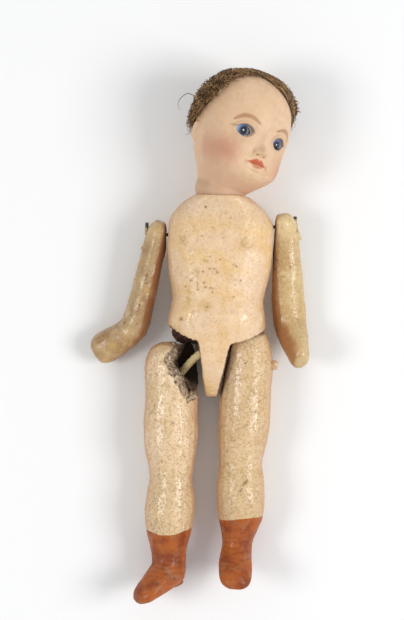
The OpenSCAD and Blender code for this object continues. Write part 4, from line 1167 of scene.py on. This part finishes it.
def flesh(name, ground, warm, pale, edge, tinge, craze, dirt, gloss, grainy, leg=False, raw=False):
    """Flesh paint under old varnish; only the colours and the amounts differ from limb to limb."""
    made, tree, shader, mm = coat(name)
    colour, grains = ground_coat(tree, mm, ground, warm, pale, tinge, grainy)
    blot = place(tree, "stains", vector=mm, scale=0.3, low=0.54, high=0.76)["Mask"]
    lines = place(tree, "crazing", vector=mm, scale=0.5, width=0.05, cover=craze)["Lines"]
    fine = place(tree, "crazing", vector=mm, scale=1.2, width=0.07, cover=craze * 0.9)["Lines"]
    net = most(tree, lines, times(tree, fine, 0.6))
    big = place(tree, "specks", vector=mm, scale=0.22, size=0.1, share=0.16 * dirt)["Mask"]
    small = place(tree, "specks", vector=mm, scale=1.4, size=0.26, share=0.17 * dirt ** 2)["Mask"]
    specks = most(tree, big, times(tree, small, 0.6), mask(tree, "marks"))
    rusty = times(tree, mask(tree, "rust"), fade(tree, grains["Tone"], 0.3, 0.6, 0.35, 0.9))
    ridge, joint, socket = (mask(tree, kind) for kind in ("ridge", "joint", "socket"))
    crease = fade(tree, ridge, -0.035, -0.006, 1.0, 0.0)
    # Painted shade: the edge colour browns where side is high, the joint mask adds grime and shade where limbs
    # meet, and the socket mask darkens the hip's gaps
    colour = layered(tree, colour, (
        (fade(tree, mask(tree, "side"), 0.2, 0.9), 0.88, edge), (blot, 0.45 * dirt, BLOT), (net, 0.5, CRAZED),
        (rusty, 1.0, RUST), (specks, 0.8, DIRT), (crease, 0.5, CREASED), (joint, 0.85, GRIMY_SHADE),
        (socket, 0.92, SOCKET_SHADE)))
    matt = most(tree, specks, socket, joint)
    grooves = [(net, 0.35), (specks, 0.3)]
    if leg:
        colour, wrinkles = painted_boot(tree, mm, colour, small, ridge, crease)
        matt = most(tree, matt, fade(tree, mask(tree, "boot"), -0.1, 0.1, 0.0, 0.5))
        grooves.append((wrinkles, 0.8))
    if raw:
        carton, fibre = bare_carton(tree, mm)
        shreds = times(tree, sums(tree, "SUBTRACT", fibre, 0.5), 0.7)
        bare = fade(tree, sums(tree, "ADD", mask(tree, "raw"), shreds), 0.4, 0.6)
        colour = mix(tree, bare, colour, carton)
        matt = most(tree, matt, bare)
    rough = sums(tree, "ADD", times(tree, grains["Tone"], 0.2), 0.36)
    height = sums(tree, "ADD", times(tree, grains["Height"], 0.4 + 1.4 * grainy),
                  times(tree, cloud(tree, mm, 0.45, 3), 1.1))
    for groove, depth in grooves:
        height = sums(tree, "SUBTRACT", height, times(tree, groove, depth))
    finish(tree, shader, colour, sums(tree, "ADD", rough, times(tree, matt, 0.4)), height, 0.6, 0.22)
    worn = times(tree, fade(tree, cloud(tree, mm, 0.22, 4), 0.36, 0.52),
                 fade(tree, grains["Tone"], 0.4, 0.64, 1.0, 0.15))
    shine = times(tree, times(tree, worn, mask(tree, "shine")), gloss)
    plug(tree, shader.inputs["Coat Weight"], times(tree, shine, sums(tree, "SUBTRACT", 1.0, matt)))
    shader.inputs["Coat Roughness"].default_value = 0.17
    shader.inputs["IOR"].default_value = 1.45
    print(name, len(tree.nodes), "nodes")
    return made


# %% Paint the limbs
# The fourth colour of each limb is its painted shade, laid where the side mask is high
wear(torso_skin, flesh("torso_varnish", (.82, .575, .37), (.8, .52, .22), (.89, .68, .46), (.62, .37, .2),
                       (.7, .51, .335), craze=.42, dirt=.5, gloss=.85, grainy=.25))
wear(right_arm_skin, flesh("right_arm_varnish", (.48, .32, .15), (.33, .18, .07), (.66, .5, .28),
                           (.3, .11, .035), (.66, .46, .22), craze=.4, dirt=1.0, gloss=.7, grainy=.4))
wear(left_arm_skin, flesh("left_arm_varnish", (.64, .45, .21), (.5, .3, .11), (.76, .6, .34), (.4, .16, .05),
                          (.86, .68, .38), craze=.4, dirt=.9, gloss=.7, grainy=.35))
# The first colour here is the legs' painted shade at their sides
LEG_SIDE_SHADE, LEG_TINGE = (.55, .28, .13), (.66, .46, .24)
LEG_AGE = {"craze": .5, "dirt": 1.0, "gloss": .8, "grainy": .55, "leg": True}
wear(left_leg_skin, flesh("leg_varnish", (.74, .51, .28), (.66, .44, .21), (.84, .65, .42), LEG_SIDE_SHADE,
                          LEG_TINGE, **LEG_AGE))
wear(right_leg_skin, flesh("broken_leg_varnish", (.83, .6, .37), (.74, .52, .28), (.91, .72, .49), LEG_SIDE_SHADE,
                           LEG_TINGE, raw=True, **LEG_AGE))

made, tree, shader, mm = coat("torn_carton")
carton, fibre = bare_carton(tree, mm)
finish(tree, shader, carton, fade(tree, fibre, 0.2, 0.8, 0.85, 0.97), fibre, 0.8, 0.3)
for carton_piece in (torn_rim, thigh_lining):
    wear(carton_piece, made)

# Painted shade: the socket's sheet is nearly black, standing for the shade in the gap between thigh and torso
made, tree, shader, mm = coat("socket_shade_carton")
shade_mottle = cloud(tree, mm, 0.6, 6, 0.7)
colour = mix(tree, fade(tree, shade_mottle, 0.3, 0.7), (.05, .022, .014), (.15, .075, .05))
finish(tree, shader, colour, fade(tree, shade_mottle, 0.2, 0.8, 0.85, 0.97), shade_mottle, 0.8, 0.3)
wear(socket_shade_lining, made)
print("limbs painted")

# %% [markdown]
# ## Bisque, glass and hair
# Bisque is fired without a glaze: matt, faintly pink, with a fine grain. The glass eye needs a clear hard
# shine over a painted iris. Old hair is dull, and each strand takes a brown of its own.

# %% Bisque and china paint
FACE_PAINTS = [("blush", 0.85, (.55, .25, .145)), ("jaw", 0.5, (.64, .34, .22)),
               ("lid_shade", 0.25, (.45, .28, .2)), ("low_lip", 0.8, (.58, .2, .1)),
               ("top_lip", 0.95, (.54, .1, .034)), ("lip_seam", 0.5, (.3, .08, .035)),
               ("nostril", 0.95, (.33, .14, .07)), ("lash", 0.7, (.16, .11, .105))]
made, tree, shader, mm = coat("bisque_paint")
tint = place(tree, "stains", vector=mm, scale=0.05, low=0.35, high=0.7)["Mask"]
mottled = fade(tree, place(tree, "grain", vector=mm, scale=0.5)["Tone"], 0.4, 0.75)
brow_hairs = fade(tree, cloud(tree, mm, 2.2, 2), 0.3, 0.55, 0.6, 0.85)
soil = place(tree, "stains", vector=mm, scale=0.2, low=0.45, high=0.75)["Mask"]
rim_soil = times(tree, mask(tree, "crown_dirt"), sums(tree, "ADD", soil, 0.25))
dots = place(tree, "specks", vector=mm, scale=0.3, size=0.08, share=0.2)["Mask"]
crease = fade(tree, mask(tree, "ridge"), -0.05, -0.008, 1.0, 0.0)
colour = layered(tree, (.77, .54, .345), ((tint, 1.0, (.74, .495, .3)), (mottled, 0.5, (.67, .43, .265))))
colour = layered(tree, colour, [(mask(tree, name), cover, paint) for name, cover, paint in FACE_PAINTS])
colour = layered(tree, colour, (
    (times(tree, mask(tree, "brow"), brow_hairs), 1.0, (.4, .19, .095)), (rim_soil, 0.5, (.44, .29, .15)),
    (mask(tree, "neck_dirt"), 0.4, (.36, .19, .11)), (dots, 0.5, (.25, .13, .07)),
    (crease, 0.35, (.42, .2, .1))))
fine = cloud(tree, mm, 4, 3)
finish(tree, shader, colour, fade(tree, fine, 0.2, 0.8, 0.46, 0.6), fine, 0.12, 0.05)
wear(bisque_skin, made)
print("bisque", len(tree.nodes), "nodes")

# %% Eye glass
made, tree, shader, mm = coat("eye_glass_paint")
eye_place = add(tree, "Attribute", attribute_name="eye_place").outputs["Vector"]
parts = add(tree, "SeparateXYZ", {"Vector": eye_place}).outputs
x, y = parts["X"], parts["Y"]
radius = sums(tree, "SQRT", sums(tree, "ADD", times(tree, x, x), times(tree, y, y)))
threads = {"X": times(tree, sums(tree, "ARCTAN2", y, x), 7.0), "Y": times(tree, radius, 0.9)}
spokes = cloud(tree, add(tree, "CombineXYZ", threads).outputs[0], 1.6, 3)
blue = layered(tree, (.05, .1, .26), (
    (fade(tree, spokes, 0.35, 0.65), 1.0, (.17, .28, .5)),
    (fade(tree, radius, PUPIL, PUPIL + 0.7, 1.0, 0.0), 0.85, (.02, .035, .11)),
    (fade(tree, radius, PUPIL + 0.3, IRIS - 0.2), 0.7, (.28, .4, .64)),
    (fade(tree, radius, IRIS - 0.25, IRIS), 0.5, (.06, .1, .2)),
    (fade(tree, radius, PUPIL - 0.15, PUPIL + 0.1, 1.0, 0.0), 1.0, (.006, .007, .014))))
milk = place(tree, "stains", vector=mm, scale=0.5, low=0.3, high=0.8)["Mask"]
white = mix(tree, milk, (.72, .69, .63), (.52, .52, .5))
ahead = sums(tree, "GREATER_THAN", parts["Z"], 0.0)
iris = times(tree, ahead, fade(tree, radius, IRIS - 0.06, IRIS + 0.12, 1.0, 0.0))
finish(tree, shader, mix(tree, iris, white, blue), fade(tree, milk, 0.0, 1.0, 0.08, 0.14))
shader.inputs["Coat Weight"].default_value = 1.0
shader.inputs["Coat Roughness"].default_value = 0.03
for ball in (right_ball, left_ball):
    wear(ball, made)
print("eye glass", len(tree.nodes), "nodes")

# %% Old hair
made, tree, shader, mm = coat("old_hair")
tone, streak = mask(tree, "tone"), cloud(tree, mm, 0.45, 4)
colour = layered(tree, (.05, .02, .007), (
    (fade(tree, tone, 0.0, 0.6), 1.0, (.24, .112, .04)), (fade(tree, tone, 0.4, 0.9), 0.85, (.58, .36, .15)),
    (fade(tree, streak, 0.5, 0.75), 0.5, (.3, .19, .09))))
finish(tree, shader, colour, fade(tree, streak, 0.2, 0.8, 0.45, 0.65))
for hair in (wig_band_hair, right_tuft_hair, left_tuft_hair):
    wear(hair, made)
print("old hair", len(tree.nodes), "nodes")

# %% [markdown]
# ## The small fittings
# Wire, wood, card, plaster and elastic keep the shape of their solids: they are plain turned or bent
# pieces, mostly hidden inside. Each still gets its own finish, because a broken hip and an open neck let
# them show.

# %% Wire hooks
PAINTED_ENDS = (("LESS_THAN", -23.3, 44.1), ("GREATER_THAN", 35.2, 49.9))   # beyond this x, below this y, mm
made, tree, shader, mm = coat("old_wire")
rust = place(tree, "stains", vector=mm, scale=0.7, low=0.4, high=0.65)["Mask"]
spot = add(tree, "SeparateXYZ", {"Vector": mm}).outputs
ends = []
for beyond, far, top in PAINTED_ENDS:
    low = fade(tree, spot["Y"], top - 0.5, top + 0.5, 1.0, 0.0)
    ends.append(times(tree, sums(tree, beyond, spot["X"], far), low))
painted = most(tree, *ends)
steel = mix(tree, rust, (.07, .062, .055), (.11, .05, .022))
bright = times(tree, fade(tree, rust, 0, 1, 0.9, 0.1), sums(tree, "SUBTRACT", 1.0, painted))
plug(tree, shader.inputs["Metallic"], bright)
colour = mix(tree, painted, steel, (.46, .31, .15))
finish(tree, shader, colour, fade(tree, rust, 0, 1, 0.38, 0.8), rust, 0.4, 0.08)
for node in ("neck_hook", "right_arm_hook", "left_arm_hook"):
    wear(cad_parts[node], made)
print("hooks painted")

# %% Wood, card, plaster, elastic and plug
made, tree, shader, mm = coat("turned_beech")
grain = add(tree, "TexWave", {"Vector": mm, "Scale": 0.35, "Distortion": 3, "Detail": 3}).outputs["Fac"]
colour = mix(tree, grain, (.16, .1, .05), (.26, .17, .09))
finish(tree, shader, colour, fade(tree, grain, 0, 1, 0.5, 0.66), grain, 0.25, 0.08)
for node in ("neck_button", "right_leg_toggle"):
    wear(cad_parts[node], made)

made, tree, shader, mm = coat("crown_card")
pulp = cloud(tree, mm, 0.8, 7, 0.7)
glue = place(tree, "stains", vector=mm, scale=0.18, low=0.42, high=0.62)["Mask"]
colour = layered(tree, (.3, .22, .14), (
    (fade(tree, pulp, 0.3, 0.7), 1.0, (.4, .31, .21)), (glue, 0.55, (.16, .095, .045))))
finish(tree, shader, colour, fade(tree, glue, 0, 1, 0.9, 0.45), pulp, 0.6, 0.2)
wear(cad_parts["pate"], made)

made, tree, shader, mm = coat("set_plaster")
chalk = cloud(tree, mm, 1.1, 6)
colour = mix(tree, chalk, (.55, .51, .45), (.74, .71, .66))
finish(tree, shader, colour, fade(tree, chalk, 0.2, 0.8, 0.8, 0.95), chalk, 0.6, 0.2)
wear(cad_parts["eye_plaster"], made)

made, tree, shader, mm = coat("cotton_elastic")
lint = cloud(tree, mm, 1.8, 6, 0.7)
dirty = place(tree, "stains", vector=mm, scale=0.35, low=0.45, high=0.75)["Mask"]
colour = layered(tree, (.8, .62, .3), (
    (fade(tree, lint, 0.3, 0.7), 1.0, (.95, .78, .42)), (dirty, 0.28, (.22, .14, .07))))
finish(tree, shader, colour, fade(tree, lint, 0.2, 0.8, 0.8, 0.95), lint, 0.7, 0.15)
for cord in (hip_cord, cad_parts["shoulder_elastic"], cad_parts["head_elastic"]):
    wear(cord, made)

made, tree, shader, mm = coat("plug_paint")
flake = place(tree, "stains", vector=mm, scale=0.6, low=0.5, high=0.62)["Mask"]
colour = mix(tree, flake, (.74, .5, .29), (.5, .3, .16))
finish(tree, shader, colour, fade(tree, flake, 0, 1, 0.35, 0.7), flake, 0.3, 0.1)
wear(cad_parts["left_hip_plug"], made)
print("fittings painted")

# %% [markdown]
# ## Table and light
# A white table and two soft lamps, one on each side, give the double shine on the varnish and a faint
# shadow. The right lamp is the stronger one, so the shadow falls to the left.

# %% Table, lamps and world
floor_mesh = bpy.data.meshes.new("table_top")
floor_mesh.from_pydata([(-2, -2, 0), (2, -2, 0), (2, 2, 0), (-2, 2, 0)], [], [(0, 1, 2, 3)])
floor = link_in(bpy.data.objects.new("table_top", floor_mesh))
made = bpy.data.materials.new("white_table")
made.use_nodes = True
tree = made.node_tree
shader = tree.nodes["Principled BSDF"]
shader.inputs["Base Color"].default_value = (0.93, 0.935, 0.94, 1)
shader.inputs["Roughness"].default_value = 0.9
shader.inputs["Specular IOR Level"].default_value = 0.1
floor_mesh.materials.append(made)

LAMPS = [("right_soft_box", (0.85, -0.05, 0.8), 6.9, 0.5), ("left_soft_box", (-0.75, -0.1, 0.85), 3.6, 0.36)]
for name, spot, watts, size in LAMPS:
    lamp = bpy.data.lights.new(name, "AREA")
    lamp.energy = watts
    lamp.size = size
    stand = link_in(bpy.data.objects.new(name, lamp))
    stand.location = spot
    stand.rotation_euler = Vector(spot).to_track_quat("Z", "Y").to_euler()
world = bpy.data.worlds.new("studio_air")
world.use_nodes = True
world.node_tree.nodes["Background"].inputs["Color"].default_value = (1, 1, 1, 1)
world.node_tree.nodes["Background"].inputs["Strength"].default_value = 0.53
bpy.context.scene.world = world
bpy.context.scene.view_settings.view_transform = "Standard"
print("lamps", len(LAMPS))
